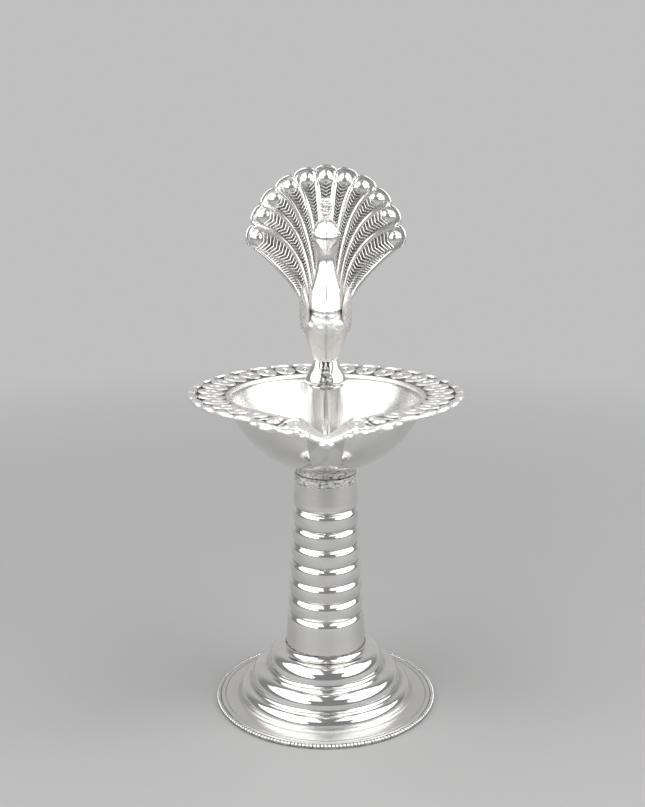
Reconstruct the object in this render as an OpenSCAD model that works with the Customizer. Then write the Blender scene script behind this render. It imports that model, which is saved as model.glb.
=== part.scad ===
// Standing oil lamp: stepped foot, ribbed stem, bowl with a spout, and a peacock on a post.
// Millimetres, +Z up. The origin is the middle of the foot on the table, the spout points to -Y.

/* [Foot] */
// Thickness of the flat flange that stands on the table
flange_t = 0.9; // [0.7:0.1:1.4]
// Width of the flange outside the lowest step, with its milled edge
flange_w = 5.8; // [4:0.2:8]
// Width of the milled edge wire
edge_w = 1.1; // [0.8:0.1:1.6]
// Height of the milled edge wire
edge_h = 1; // [0.9:0.1:1.4]
// Wall of the foot's sheet
foot_wall = 0.8; // [0.6:0.1:1.1]
// Ledge from the stem to the flank of the top step
top_ledge = 4.35; // [3.8:0.05:5.5]
// Ledge from the top step to the flank of the middle step
middle_ledge = 4.1; // [3.4:0.1:5]
// Ledge from the middle step to the flank of the lowest step
low_ledge = 2.8; // [2.4:0.1:4]
// Rise of the lowest step above the flange
low_rise = 3.2; // [3:0.1:4.5]
// Rise of the middle step above the lowest step
middle_rise = 4; // [3.4:0.1:5]
// Rise of the top step above the middle step
top_rise = 4.5; // [3.6:0.1:6]
// Reach of the oval rounding of the two upper steps
step_round = 2.5; // [1.6:0.1:2.8]
// Hollow fillet at the foot of each step
step_fillet = 0.95; // [0.5:0.05:1.1]
// Hollow fillet from the top step up to the stem
neck_cove = 1.4; // [1:0.1:2]

/* [Stem] */
// Length of the stem above the foot
stem_h = 40.4; // [34:0.2:52]
// Diameter of the stem at its lower end
stem_bottom_d = 18.9; // [17:0.1:22]
// Diameter of the stem at its upper end
stem_top_d = 14.5; // [13.5:0.1:16.5]
// Wall of the stem behind its grooves
stem_wall = 0.8; // [0.6:0.1:1.1]
// Height of the plain band at the lower end
low_band_h = 7.9; // [5:0.1:10]
// Height of the plain band at the upper end
top_band_h = 6.4; // [4:0.1:8]
// Number of ribs between the two bands
ribs = 6; // [4:1:8]
// Depth of the grooves between the ribs
groove = 0.65; // [0.4:0.05:0.9]
// Length of the spigot that the stem sets into the foot
spigot_h = 1.8; // [1.2:0.1:2.4]
// Width of the stem's seat around its spigot
spigot_seat = 0.85; // [0.6:0.05:1.1]

/* [Neck] */
// Height of the knurled flange of the stem's bush
bush_flange_h = 1.9; // [1.5:0.1:2.6]
// Length of the bush inside the stem
bush_h = 6; // [5.2:0.2:12]
// Diameter of the stud's thread
stud_d = 8; // [6:0.5:9]
// Length of the stud inside the bush
stud_h = 3.1; // [2:0.1:5]
// Thickness of the bowl's collar at the stud
collar_t = 0.6; // [0.5:0.1:1.2]
// How far the bowl's collar stands back from the bush's flange
collar_inset = 0.25; // [0:0.05:0.6]

/* [Bowl] */
// Radius of the ball that the bowl is a part of
ball_r = 23.9; // [22:0.1:27]
// Depth of the bowl, outside, up to its edge
bowl_depth = 16.3; // [15:0.1:19]
// Wall of the bowl
bowl_wall = 0.8; // [0.6:0.1:1.1]
// Width of the edge that is turned out under the border
lip_w = 1.6; // [1.2:0.1:2.2]

/* [Border] */
// Width of the border around the bowl
border_w = 8.85; // [7.5:0.05:10]
// Thickness of the border
border_t = 1; // [0.8:0.1:1.4]
// Rise of the border from its inner to its outer edge
border_rise = 0.8; // [0:0.1:1.6]
// Number of scallops around the whole border
scallops = 32; // [28:2:36]
// Depth of the notches between the scallops
notch = 0.7; // [0.3:0.1:1]
// Length of a loop along the radius
loop_l = 6.4; // [5:0.1:6.8]
// Width of a loop
loop_w = 5; // [4.4:0.1:5.4]
// Width of the fat ring that a loop is made of
loop_wire = 1.7; // [1.2:0.05:1.9]
// Height of that ring
loop_h = 0.95; // [0.7:0.05:1.2]

/* [Spout] */
// Reach of the bowl's edge into the spout, beyond the round edge
spout_reach = 12.3; // [8:0.1:14]
// Half of the angle that the channel of the spout takes from the round edge
spout_angle = 11; // [9:0.5:14]
// Reach of the border's shoulders beside the spout
shoulder_reach = 4.2; // [2:0.1:5]
// Reach of the spout's tip beyond those shoulders
tip_reach = 3; // [2:0.1:4]
// Drop of the border and the edge at the tip
spout_drop = 1.3; // [0:0.1:3]

/* [Post] */
// Diameter of the post
post_d = 8.2; // [7:0.1:10]
// Wall of the post
post_wall = 0.7; // [0.5:0.1:1.1]
// Height of the post's top above the border's outer edge
post_rise = 3.2; // [2.4:0.1:6]
// Thickness of the cap that closes the post
cap_t = 0.8; // [0.6:0.1:1.4]

/* [Bird] */
// Height of the legs
leg_h = 5.5; // [4:0.1:8]
// Distance between the middles of the feet
feet_apart = 5.4; // [5:0.1:6.4]
// Width of a foot
foot_w = 3.9; // [3:0.1:4.4]
// Width of the body where it meets the legs
waist_w = 5.4; // [5.2:0.1:6.4]
// Width of the body
body_w = 10; // [9:0.1:12]
// Height of the body up to the neck
body_h = 16.7; // [15:0.1:20]
// Reach of the breast in front of the post's middle
breast_reach = 5; // [4:0.1:6]
// Reach of the rump behind the post's middle
rump_reach = 5.4; // [4.4:0.1:5.8]
// Width of the neck
neck_w = 4.1; // [3.6:0.1:5]
// Height of the neck
neck_h = 8; // [6:0.1:10]
// Width of the head
head_w = 6.3; // [5.4:0.1:7]
// Height of the head
head_h = 7.2; // [6:0.1:9]
// Length of the beak
beak_l = 3; // [2:0.1:4]
// Height of a wing
wing_h = 11; // [9:0.1:12]
// Length of a wing from front to back
wing_l = 8.4; // [7:0.1:9.4]
// How far a wing stands out from the body
wing_out = 1.3; // [0.9:0.1:1.7]
// Height of the crest above the head
crest_h = 4.4; // [3:0.1:6]
// Thickness of the crest
crest_t = 1; // [0.7:0.1:1.4]

/* [Tail fan] */
// Number of feathers
feathers = 11; // [9:2:13]
// Radius of the circle through the feathers' tips
fan_r = 18.6; // [16:0.1:21]
// Height of that circle's middle above the legs
fan_rise = 24.8; // [22:0.1:28]
// Angle that the feathers take at their tips
fan_angle = 179; // [150:1:184]
// Share of the fan's width that the plain strip at each side takes
strip_share = 0.1; // [0.06:0.01:0.12]
// Angle of a side strip beyond the last feather
strip_angle = 1.5; // [0.5:0.1:3]
// How far the corner of a side strip stands back from the tips
strip_step = 0.7; // [0:0.1:1]
// Width of the fan where its edges reach the body
root_w = 11.8; // [9:0.1:14]
// Height of those places above the legs
root_rise = 12.9; // [11:0.1:15]
// Length of the tongue from there down behind the rump
tongue_l = 2.8; // [2:0.1:4]
// Distance of the fan behind the post's middle
fan_back = 5; // [4.6:0.1:6]
// How far the tips lean back
fan_lean = 2.4; // [0:0.1:4]
// Thickness of the stamped front sheet
fan_t = 0.7; // [0.5:0.05:1]
// Thickness of the plain back sheet
backing_t = 0.6; // [0.4:0.05:1]
// Depth of the scallops between the feathers' tips
tip_notch = 1.1; // [0.6:0.1:2]
// Height of the ridges between the feathers
ridge_h = 0.5; // [0.2:0.05:0.7]
// Height of the smooth pad at each tip
pad_h = 0.5; // [0.3:0.05:0.8]

/* [Clearances] */
// Gap of a soldered seat between round faces
solder_gap = 0.05; // [0.02:0.01:0.1]
// Gap between the stud and its thread
thread_gap = 0.05; // [0.03:0.01:0.1]
// Gap between the bowl and the pieces set against its ball
ball_gap = 0.12; // [0.1:0.01:0.2]
// Gap between the stud's upper end and the bowl
stud_gap = 0.3; // [0.2:0.05:0.5]

/* [Hidden] */
$fn = 96;

silver = [0.80, 0.80, 0.78];
dark_silver = [0.55, 0.55, 0.54];

// Radii of the foot, from the stem outwards
stem_r = stem_bottom_d / 2;
stem_top_r = stem_top_d / 2;
top_step_r = stem_r + top_ledge;
middle_step_r = top_step_r + middle_ledge;
low_step_r = middle_step_r + low_ledge;
foot_r = low_step_r + flange_w;
low_round = low_ledge - step_fillet;

// Heights of the foot and the stem
low_step_z = flange_t + low_rise;
middle_step_z = low_step_z + middle_rise;
top_step_z = middle_step_z + top_rise;
foot_z = top_step_z + neck_cove;
stem_z = foot_z + stem_h;
low_band_z = foot_z + low_band_h;
top_band_z = stem_z - top_band_h;
rib_h = (top_band_z - low_band_z) / ribs;
spigot_r = stem_r - spigot_seat;
bore_r = stem_top_r - groove - stem_wall;

// Heights of the neck and the bowl
bush_z = stem_z + bush_flange_h;
collar_r = stem_top_r - collar_inset;
bowl_z = bush_z + collar_t;
ball_z = bowl_z + ball_r;
edge_z = bowl_z + bowl_depth;
edge_r = sqrt(pow(ball_r, 2) - pow(ball_r - bowl_depth, 2));
edge_tilt = acos((ball_r - bowl_depth) / ball_r);
border_r = edge_r + border_w;
border_z = edge_z + border_rise;

// Heights of the post and the bird
post_z = border_z + post_rise;
leg_z = post_z + leg_h;
neck_z = leg_z + body_h;
head_z = neck_z + neck_h;
crown_z = head_z + head_h;
fan_z = leg_z + fan_rise;
root_z = leg_z + root_rise;

function mix(a, b, t) = a + (b - a) * t;
function ease(t) = let (c = min(1, max(0, t))) c * c * (3 - 2 * c);
function fade(angle, reach, power) = pow(max(0, 1 - abs(angle) / reach), power);

// A solid through closed rings, each counter-clockwise seen from above, from the lowest up
module loft(rings) {
    n = len(rings[0]);
    last = (len(rings) - 1) * n;
    sides = [
        for (i = [0:len(rings) - 2], j = [0:n - 1])
            let (a = i * n + j, b = i * n + (j + 1) % n)
            each [[a, a + n, b + n], [a, b + n, b]]
    ];
    caps = [[for (j = [0:n - 1]) j], [for (j = [n - 1:-1:0]) last + j]];
    polyhedron([for (ring = rings) each ring], concat(sides, caps));
}

// A closed ring of cross-sections, each counter-clockwise with the radius to the right
module ring_of_sections(sections) {
    m = len(sections);
    n = len(sections[0]);
    faces = [
        for (i = [0:m - 1], k = [0:n - 1])
            let (
                a = i * n + k,
                b = (i + 1) % m * n + k,
                c = (i + 1) % m * n + (k + 1) % n,
                d = i * n + (k + 1) % n
            )
            each [[a, d, c], [a, c, b]]
    ];
    polyhedron([for (section = sections) each section], faces);
}

// A bowl from sections that run from its lower pole, over its edge, to its upper pole
module bowl_of_sections(sections, low_pole, high_pole) {
    m = len(sections);
    n = len(sections[0]);
    low = m * n;
    high = low + 1;
    strips = [
        for (i = [0:m - 1], k = [0:n - 2])
            let (a = i * n + k, b = (i + 1) % m * n + k)
            each [[a, a + 1, b + 1], [a, b + 1, b]]
    ];
    fans = [
        for (i = [0:m - 1])
            let (a = i * n, b = (i + 1) % m * n)
            each [[low, a, b], [high, b + n - 1, a + n - 1]]
    ];
    points = concat([for (section = sections) each section], [low_pole, high_pole]);
    polyhedron(points, concat(strips, fans));
}

// A sheet between two grids of points, rows upwards and columns to the right seen from -Y
module sheet(front, back) {
    rows = len(front);
    n = len(front[0]);
    count = rows * n;
    faces = concat(
        [
            for (v = [0:rows - 2], u = [0:n - 2])
                let (a = v * n + u, b = a + 1, c = b + n, d = a + n, k = count)
                each [[a, d, c], [a, c, b], [a + k, b + k, c + k], [a + k, c + k, d + k]]
        ],
        [
            for (u = [0:n - 2])
                let (a = u, t = count - n + u, k = count)
                each [
                    [a, a + 1, a + 1 + k], [a, a + 1 + k, a + k],
                    [t, t + 1 + k, t + 1], [t, t + k, t + 1 + k]
                ]
        ],
        [
            for (v = [0:rows - 2])
                let (a = v * n, t = a + n - 1, k = count)
                each [
                    [a, a + k, a + n + k], [a, a + n + k, a + n],
                    [t, t + n + k, t + k], [t, t + n, t + n + k]
                ]
        ]
    );
    polyhedron(concat([for (row = front) each row], [for (row = back) each row]), faces);
}

// Half of one step's outline, drawn in by an inset: an oval rounding down to the fillet on the ledge below
module step_outline(r, z, ledge, reach, inset) {
    low = ledge + step_fillet;
    square([r - reach, z - inset]);
    square([r - inset, low]);
    translate([r - reach, low])
        intersection() {
            scale([reach - inset, z - inset - low]) circle(1);
            square([reach, z - low]);
        }
}

// The hollow fillet in the corner between a flank and a ledge
module corner_fillet(r, z, radius) {
    translate([r, z])
        difference() {
            square(radius);
            translate([radius, radius]) circle(radius);
        }
}

module foot_outline(inset) {
    step_outline(top_step_r, top_step_z, middle_step_z, step_round, inset);
    step_outline(middle_step_r, middle_step_z, low_step_z, step_round, inset);
    step_outline(low_step_r, low_step_z, flange_t, low_round, inset);
    corner_fillet(top_step_r - inset, middle_step_z - inset, step_fillet + inset);
    corner_fillet(middle_step_r - inset, low_step_z - inset, step_fillet + inset);
}

module foot_shell() {
    color(silver)
        rotate_extrude()
            difference() {
                union() {
                    foot_outline(0);
                    square([stem_r, foot_z]);
                    corner_fillet(stem_r, top_step_z, neck_cove);
                    square([foot_r - edge_w - solder_gap, flange_t]);
                    corner_fillet(low_step_r, flange_t, step_fillet);
                }
                foot_outline(foot_wall);
                square([spigot_r + solder_gap, foot_z + 1]);
            }
}

module foot_edge() {
    round = edge_w / 2;
    color(silver)
        rotate_extrude()
            translate([foot_r - edge_w, 0]) {
                square([round, edge_h]);
                square([edge_w, edge_h - round]);
                translate([round, edge_h - round]) circle(round);
            }
}

function stem_radius(z) = mix(stem_r, stem_top_r, (z - foot_z) / stem_h);

module stem_outline() {
    rib_r = pow(rib_h, 2) / (8 * groove) + groove / 2;
    polygon([[0, foot_z], [stem_r, foot_z], [stem_radius(low_band_z), low_band_z], [0, low_band_z]]);
    polygon([[0, top_band_z], [stem_radius(top_band_z), top_band_z], [stem_top_r, stem_z], [0, stem_z]]);
    polygon([
        [0, low_band_z],
        [stem_radius(low_band_z) - groove, low_band_z],
        [stem_radius(top_band_z) - groove, top_band_z],
        [0, top_band_z]
    ]);
    for (i = [0:ribs - 1]) {
        z = low_band_z + (i + 0.5) * rib_h;
        translate([stem_radius(z) - rib_r, z])
            intersection() {
                circle(rib_r);
                translate([0, -rib_h / 2]) square([rib_r, rib_h]);
            }
    }
}

module stem_tube() {
    low = foot_z - spigot_h;
    color(silver)
        rotate_extrude()
            difference() {
                union() {
                    stem_outline();
                    translate([0, low]) square([spigot_r, spigot_h]);
                }
                polygon([
                    [0, low - 1],
                    [spigot_r - stem_wall, low - 1],
                    [spigot_r - stem_wall, foot_z],
                    [bore_r, stem_z - bush_h],
                    [bore_r, stem_z + 1],
                    [0, stem_z + 1]
                ]);
            }
}

module stem_bush() {
    round = bush_flange_h / 2;
    color(dark_silver)
        rotate_extrude()
            difference() {
                union() {
                    translate([0, stem_z - bush_h]) square([bore_r - solder_gap, bush_h]);
                    translate([0, stem_z]) square([stem_top_r - round, bush_flange_h]);
                    translate([stem_top_r - round, stem_z + round]) circle(round);
                }
                translate([0, stem_z - bush_h - 1])
                    square([stud_d / 2 + thread_gap, bush_h + bush_flange_h + 2]);
            }
}

module bowl_stud() {
    low = bush_z - bush_flange_h - stud_h;
    color(dark_silver)
        translate([0, 0, low]) cylinder(d = stud_d, h = bowl_z - stud_gap - low);
}

module bowl_collar() {
    rim_z = ball_z - sqrt(pow(ball_r, 2) - pow(collar_r, 2));
    round = (rim_z - bush_z) / 2;
    color(dark_silver)
        rotate_extrude()
            difference() {
                union() {
                    translate([0, bush_z]) square([collar_r - round, 2 * round]);
                    translate([collar_r - round, bush_z + round]) circle(round);
                }
                translate([0, ball_z]) circle(ball_r);
                square([stud_d / 2 + thread_gap, bowl_z]);
            }
}

// Angles around the bowl from the spout, fine beside the spout and coarser round the back
pitch = 360 / scallops;
fine_steps = 18;
function turns(coarse) =
    let (fine = 3 * pitch, around = (scallops - 6) * coarse)
    concat(
        [for (i = [-fine_steps:fine_steps - 1]) i * fine / fine_steps],
        [for (i = [0:around - 1]) fine + i * pitch / coarse]
    );
function from_spout(turn) = turn > 180 ? turn - 360 : turn;

// A point at an angle from the spout, at a radius and a height
function around(turn, r, z) = [r * sin(turn), -r * cos(turn), z];

// How the bowl's edge and the border's outer edge run around the bowl
function edge_at(turn) = edge_r + spout_reach * fade(turn, spout_angle, 1.15);
function drop_at(turn) = spout_drop * ease(1 - abs(turn) / (3 * pitch));
function shoulder_at(turn) = shoulder_reach * ease((2.7 * pitch - abs(turn)) / (1.4 * pitch));
function scallop_at(turn) = notch * (1 - sqrt(abs(cos(turn * scallops / 2))));
function outer_at(turn) =
    border_r + shoulder_at(turn) + tip_reach * fade(turn, 0.75 * pitch, 1.2) - scallop_at(turn);

// One section of the bowl's sheet: up outside, out and back over the lip, down inside
bowl_rows = 7;
function bowl_point(turn, tilt, r) =
    let (
        pull = pow(tilt / edge_tilt, 3),
        reach = r * sin(tilt) + (edge_at(turn) - edge_r) * pull
    )
    around(turn, reach, ball_z - r * cos(tilt) - drop_at(turn) * pull);
function lip_point(turn, out, up) =
    around(turn, edge_at(turn) + out, edge_z - drop_at(turn) + up + out * border_rise / border_w);
function bowl_section(turn) = concat(
    [for (i = [1:bowl_rows]) bowl_point(turn, edge_tilt * i / bowl_rows, ball_r)],
    [lip_point(turn, lip_w, 0), lip_point(turn, lip_w, bowl_wall), lip_point(turn, -bowl_wall, bowl_wall)],
    [for (i = [bowl_rows - 1:-1:1]) bowl_point(turn, edge_tilt * i / bowl_rows, ball_r - bowl_wall)]
);

module bowl_dish() {
    color(silver)
        bowl_of_sections(
            [for (turn = turns(2)) bowl_section(from_spout(turn))],
            [0, 0, bowl_z],
            [0, 0, bowl_z + bowl_wall]
        );
}

// One section of the border: flat below, with a raised edge above
bead_w = 1;
bead_h = 0.4;
function border_point(turn, r, up) =
    let (out = r - edge_at(turn))
    lip_point(turn, out, bowl_wall + solder_gap + up);
function border_section(turn) =
    let (inner = edge_at(turn) - bowl_wall, outer = outer_at(turn))
    [
        border_point(turn, inner, 0),
        border_point(turn, outer, 0),
        border_point(turn, outer, border_t),
        border_point(turn, outer - bead_w, border_t),
        border_point(turn, outer - bead_w - bead_h, border_t - bead_h),
        border_point(turn, inner + bead_w, border_t - bead_h),
        border_point(turn, inner, border_t)
    ];

// A loop as a fat oval ring, lying with its middle line on the border
loop_steps = 12;
wire_steps = 4;
module loop(turn, length, width) {
    r = mix(edge_r, outer_at(turn), 0.41);
    middle = border_point(turn, r, border_t - bead_h / 2);
    translate(middle)
        rotate([0, 0, turn])
            ring_of_sections([
                for (i = [0:loop_steps - 1])
                    let (a = i * 360 / loop_steps)
                    [
                        for (k = [0:wire_steps - 1])
                            let (
                                b = k * 360 / wire_steps,
                                grow = loop_wire / 2 * (cos(b) - 1)
                            )
                            [
                                (width / 2 + grow) * sin(a),
                                -(length / 2 + grow) * cos(a),
                                loop_h / 2 * sin(b)
                            ]
                    ]
            ]);
}

module bowl_border() {
    color(silver) {
        ring_of_sections([for (turn = turns(4)) border_section(from_spout(turn))]);
        for (i = [3:scallops - 3]) loop(from_spout(i * pitch), loop_l, loop_w);
        for (side = [-1, 1]) loop(side * 2 * pitch, loop_l, loop_w * 0.9);
    }
}

module post_tube() {
    floor_r = ball_r - bowl_wall - ball_gap;
    low = ball_z - sqrt(pow(floor_r, 2) - pow(post_d / 2, 2));
    color(silver)
        difference() {
            translate([0, 0, low]) cylinder(d = post_d, h = post_z - cap_t - low);
            translate([0, 0, low - 1]) cylinder(d = post_d - 2 * post_wall, h = post_z - low);
        }
}

module post_cap() {
    color(silver)
        translate([0, 0, post_z - cap_t]) cylinder(d = post_d, h = cap_t);
}

// An oval ring at a height, with its own reach to the front and to the back, and a keel in front
function keeled(x, keel) =
    sqrt(max(0, 1 - pow((abs(x) + keel) / (1 + keel), 2)) / (1 - pow(keel / (1 + keel), 2)));
function oval(x, y, z, half_w, front, back, n, keel = 0) = [
    for (j = [0:n - 1])
        let (a = j * 360 / n, reach = sin(a) < 0 ? -front * keeled(cos(a), keel) : back * sin(a))
        [x + half_w * cos(a), y + reach, z]
];

module leg(side) {
    rings = 4;
    top_w = waist_w / 2 - 0.1;
    color(silver)
        loft([
            for (i = [0:rings])
                let (t = i / rings, w = mix(foot_w, top_w, ease(t)))
                oval(
                    side * mix(feet_apart / 2, waist_w / 4, t), mix(-0.75, 0.2, t), post_z + leg_h * t,
                    w / 2, w * 0.78, w * 0.6, 16
                )
        ]);
}

module left_leg() {
    leg(-1);
}

module right_leg() {
    leg(1);
}

// Sections of the bird: height, middle from front to back, half width, reach to front and back
bird_sections = [
    [leg_z, 0.2, waist_w / 2, waist_w / 2, waist_w / 2],
    [mix(leg_z, neck_z, 0.22), 0.2, body_w * 0.4, breast_reach * 0.75, rump_reach * 0.8],
    [mix(leg_z, neck_z, 0.44), 0, body_w * 0.5, breast_reach, rump_reach],
    [mix(leg_z, neck_z, 0.62), 0, body_w * 0.47, breast_reach, rump_reach * 0.95],
    [mix(leg_z, neck_z, 0.82), -0.3, body_w * 0.43, breast_reach * 0.84, rump_reach * 0.7],
    [neck_z, -0.6, neck_w * 0.78, neck_w * 0.78, neck_w * 0.7],
    [mix(neck_z, head_z, 0.5), -0.8, neck_w * 0.57, neck_w * 0.58, neck_w * 0.55],
    [mix(neck_z, head_z, 0.85), -0.9, neck_w * 0.52, neck_w * 0.52, neck_w * 0.52],
    [mix(head_z, crown_z, 0.16), -1.1, head_w * 0.43, head_w * 0.48, head_w * 0.4],
    [mix(head_z, crown_z, 0.5), -1.2, head_w * 0.5, head_w * 0.53, head_w * 0.48],
    [mix(head_z, crown_z, 0.82), -1.1, head_w * 0.38, head_w * 0.38, head_w * 0.38],
    [crown_z, -1, head_w * 0.12, head_w * 0.12, head_w * 0.12]
];

// A smooth curve through the sections, from 0 at the first to 1 at the last
function bird_at(t) =
    let (
        n = len(bird_sections) - 1,
        i = min(n - 1, floor(t * n)),
        f = t * n - i,
        p = [for (k = [-1:2]) bird_sections[min(n, max(0, i + k))]],
        bend = 2 * p[0] - 5 * p[1] + 4 * p[2] - p[3],
        twist = 3 * (p[1] - p[2]) + p[3] - p[0]
    )
    p[1] + 0.5 * f * (p[2] - p[0] + f * (bend + f * twist));

module bird() {
    rings = 22;
    keel = 0.9;
    beak_z = mix(head_z, crown_z, 0.36);
    root = -head_w * 0.45;
    half = head_w * 0.3;
    loft([
        for (i = [0:rings])
            let (s = bird_at(i / rings))
            oval(0, s[1], s[0], s[2], s[3], s[4], 24, keel)
    ]);
    polyhedron(
        [
            [0, root, beak_z + half], [half, root, beak_z], [0, root, beak_z - half], [-half, root, beak_z],
            [0, root - beak_l - 1, beak_z - beak_l]
        ],
        [[0, 3, 2, 1], [0, 1, 4], [1, 2, 4], [2, 3, 4], [3, 0, 4]]
    );
}

module bird_half(side) {
    size = 100;
    color(silver)
        intersection() {
            bird();
            translate([side * size / 2, 0, mix(leg_z, crown_z, 0.5)]) cube(size, center = true);
        }
}

module bird_left() {
    bird_half(-1);
}

module bird_right() {
    bird_half(1);
}

// A leaf-shaped wing, curled round the body and cut to its side
module wing(side) {
    rings = 10;
    steps = 16;
    curl = 0.065;
    middle = mix(leg_z, neck_z, 0.675);
    color(silver)
        difference() {
            loft([
                for (i = [0:rings])
                    let (h = mix(-0.97, 0.97, i / rings), f = sqrt(1 - h * h))
                    [
                        for (j = [0:steps - 1])
                            let (
                                a = j * 360 / steps,
                                back = f * wing_l / 2 * sin(a),
                                out = f * wing_out * cos(a)
                            )
                            [
                                side * (body_w / 2 - curl * back * back) + out,
                                0.5 - h * wing_l / 6 + back,
                                middle + h * wing_h / 2
                            ]
                    ]
            ]);
            bird();
        }
}

module left_wing() {
    wing(-1);
}

module right_wing() {
    wing(1);
}

// Three plumes on one stalk, cut to the top of the head
module crest() {
    plume_r = 0.55;
    sink = 1.2;
    color(silver)
        difference() {
            translate([0, -0.4 + crest_t / 2, crown_z - sink])
                rotate([90, 0, 0])
                    linear_extrude(crest_t) {
                        top = crest_h + sink - plume_r;
                        polygon([[-0.5, 0], [0.5, 0], [1.2, top], [-1.2, top]]);
                        for (x = [-0.85, 0, 0.85]) translate([x, top]) circle(plume_r);
                    }
            bird();
        }
}

// The fan's surface: u runs from its left to its right edge, v from its root to the tips
front_columns = 6;
front_rows = 12;
back_columns = 4;
back_rows = 6;
function across(u) = 2 * u - 1;
feather_share = 1 - 2 * strip_share;
function unit(t) = min(1, max(0, t));
function in_feather(u) =
    let (t = unit((u - strip_share) / feather_share) * feathers, k = min(feathers - 1, floor(t + 0.0001)))
    max(-1, min(1, 2 * (t - k) - 1));
function in_strip(u) = unit((abs(across(u)) - feather_share) / (1 - feather_share));
function fan_tip(u) =
    let (
        turn = max(-1, min(1, across(u) / feather_share)) * fan_angle / 2,
        angle = turn + sign(across(u)) * in_strip(u) * strip_angle,
        r = fan_r - tip_notch * (1 - sqrt(1 - pow(in_feather(u), 2))) - strip_step * in_strip(u)
    )
    [r * sin(angle), fan_z + r * cos(angle)];
function fan_root(u) = [across(u) * root_w / 2, root_z - tongue_l * (1 - pow(across(u), 2))];
function fan_place(u, v) =
    let (
        tip = fan_tip(u),
        root = fan_root(u),
        near = unit(abs(across(u)) / 0.58),
        side = unit((abs(across(u)) - 0.58) / 0.42),
        bend_x = 0.12 - 0.08 * near + 0.11 * side * side + 0.14 * in_strip(u),
        bend_z = mix(0.7, 0.9, near) - 0.4 * pow(side, 1.5),
        bend = [mix(root[0], tip[0], bend_x), mix(root[1], tip[1], bend_z)]
    )
    mix(mix(root, bend, v), mix(bend, tip, v), v);
function fan_relief(u, v) =
    let (
        s = in_feather(u),
        ridge = ridge_h * pow(abs(s), 2) * ease(v * 3) * ease((1 - v) * 8) * (1 - in_strip(u)),
        pad = pad_h * (1 - s * s) * ease((v - 0.8) / 0.08) * ease((1.02 - v) * 12)
    )
    ridge + pad;
function fan_point(u, v, out) =
    let (place = fan_place(u, v))
    [place[0], fan_back + fan_lean * v * v - out, place[1]];
function fan_columns(columns) = concat(
    [0, strip_share / 2],
    [for (i = [0:feathers * columns]) strip_share + feather_share * i / (feathers * columns)],
    [1 - strip_share / 2, 1]
);
function fan_grid(columns, rows, depth, relief) = [
    for (j = [0:rows])
        let (v = j / rows)
        [for (u = fan_columns(columns)) fan_point(u, v, relief * fan_relief(u, v) - depth)]
];

module tail_fan() {
    color(silver)
        difference() {
            sheet(
                fan_grid(front_columns, front_rows, 0, 1),
                fan_grid(front_columns, front_rows, fan_t, 0)
            );
            bird();
        }
}

module tail_back() {
    seat = fan_t + solder_gap;
    color(silver)
        sheet(
            fan_grid(back_columns, back_rows, seat, 0),
            fan_grid(back_columns, back_rows, seat + backing_t, 0)
        );
}

foot_edge();
foot_shell();
stem_tube();
stem_bush();
bowl_stud();
bowl_collar();
bowl_dish();
bowl_border();
post_tube();
post_cap();
left_leg();
right_leg();
bird_left();
bird_right();
left_wing();
right_wing();
crest();
tail_fan();
tail_back();
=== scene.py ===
"""Standing oil lamp in polished silver: a stepped foot, a ribbed stem, a bowl with a spout and a peacock."""

import math
from types import SimpleNamespace

import bmesh
import bpy
import numpy as np
from mathutils import Matrix, Vector, noise


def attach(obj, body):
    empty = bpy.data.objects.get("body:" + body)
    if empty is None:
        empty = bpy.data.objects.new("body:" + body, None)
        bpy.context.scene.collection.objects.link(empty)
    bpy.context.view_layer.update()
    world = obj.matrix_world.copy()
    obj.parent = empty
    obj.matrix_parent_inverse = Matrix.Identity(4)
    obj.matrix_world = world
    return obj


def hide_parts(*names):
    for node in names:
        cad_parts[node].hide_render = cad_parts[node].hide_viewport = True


bl_info = {
    "name": "Standing Oil Lamp",
    "version": (1, 0, 0),
    "blender": (4, 5, 0),
    "location": "View3D > Sidebar > Lamp",
    "description": "Dresses the packed oil lamp in polished, stamped and soldered silver",
    "category": "Object",
}

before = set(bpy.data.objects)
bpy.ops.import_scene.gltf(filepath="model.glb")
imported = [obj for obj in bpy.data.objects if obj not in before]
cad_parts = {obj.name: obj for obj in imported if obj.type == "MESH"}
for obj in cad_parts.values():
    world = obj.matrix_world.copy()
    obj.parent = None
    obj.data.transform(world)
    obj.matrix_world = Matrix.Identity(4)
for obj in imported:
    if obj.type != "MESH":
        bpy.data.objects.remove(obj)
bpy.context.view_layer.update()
MM = 0.001

# Width of a soldered or screwed gap, in millimetres
GAP = 0.05
# Keeps a division by a length from failing at nought
TINY = 1e-9


# Properties

def length(name, description, millimetres):
    """A length, given in millimetres and kept in metres."""
    return bpy.props.FloatProperty(
        name=name, description=description, default=millimetres * MM, min=0, unit="LENGTH", precision=5
    )


def angle(name, description, degrees):
    """An angle, given in degrees."""
    return bpy.props.FloatProperty(
        name=name, description=description, default=math.radians(degrees), subtype="ANGLE"
    )


def count(name, description, number):
    """A number of like things."""
    return bpy.props.IntProperty(name=name, description=description, default=number, min=1)


def share(name, description, value):
    """A number from 0 to 1."""
    return bpy.props.FloatProperty(
        name=name, description=description, default=value, min=0, max=1, subtype="FACTOR"
    )


def colour(name, description, value):
    """A plain colour."""
    return bpy.props.FloatVectorProperty(
        name=name, description=description, default=value, size=3, min=0, max=1, subtype="COLOR"
    )


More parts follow.
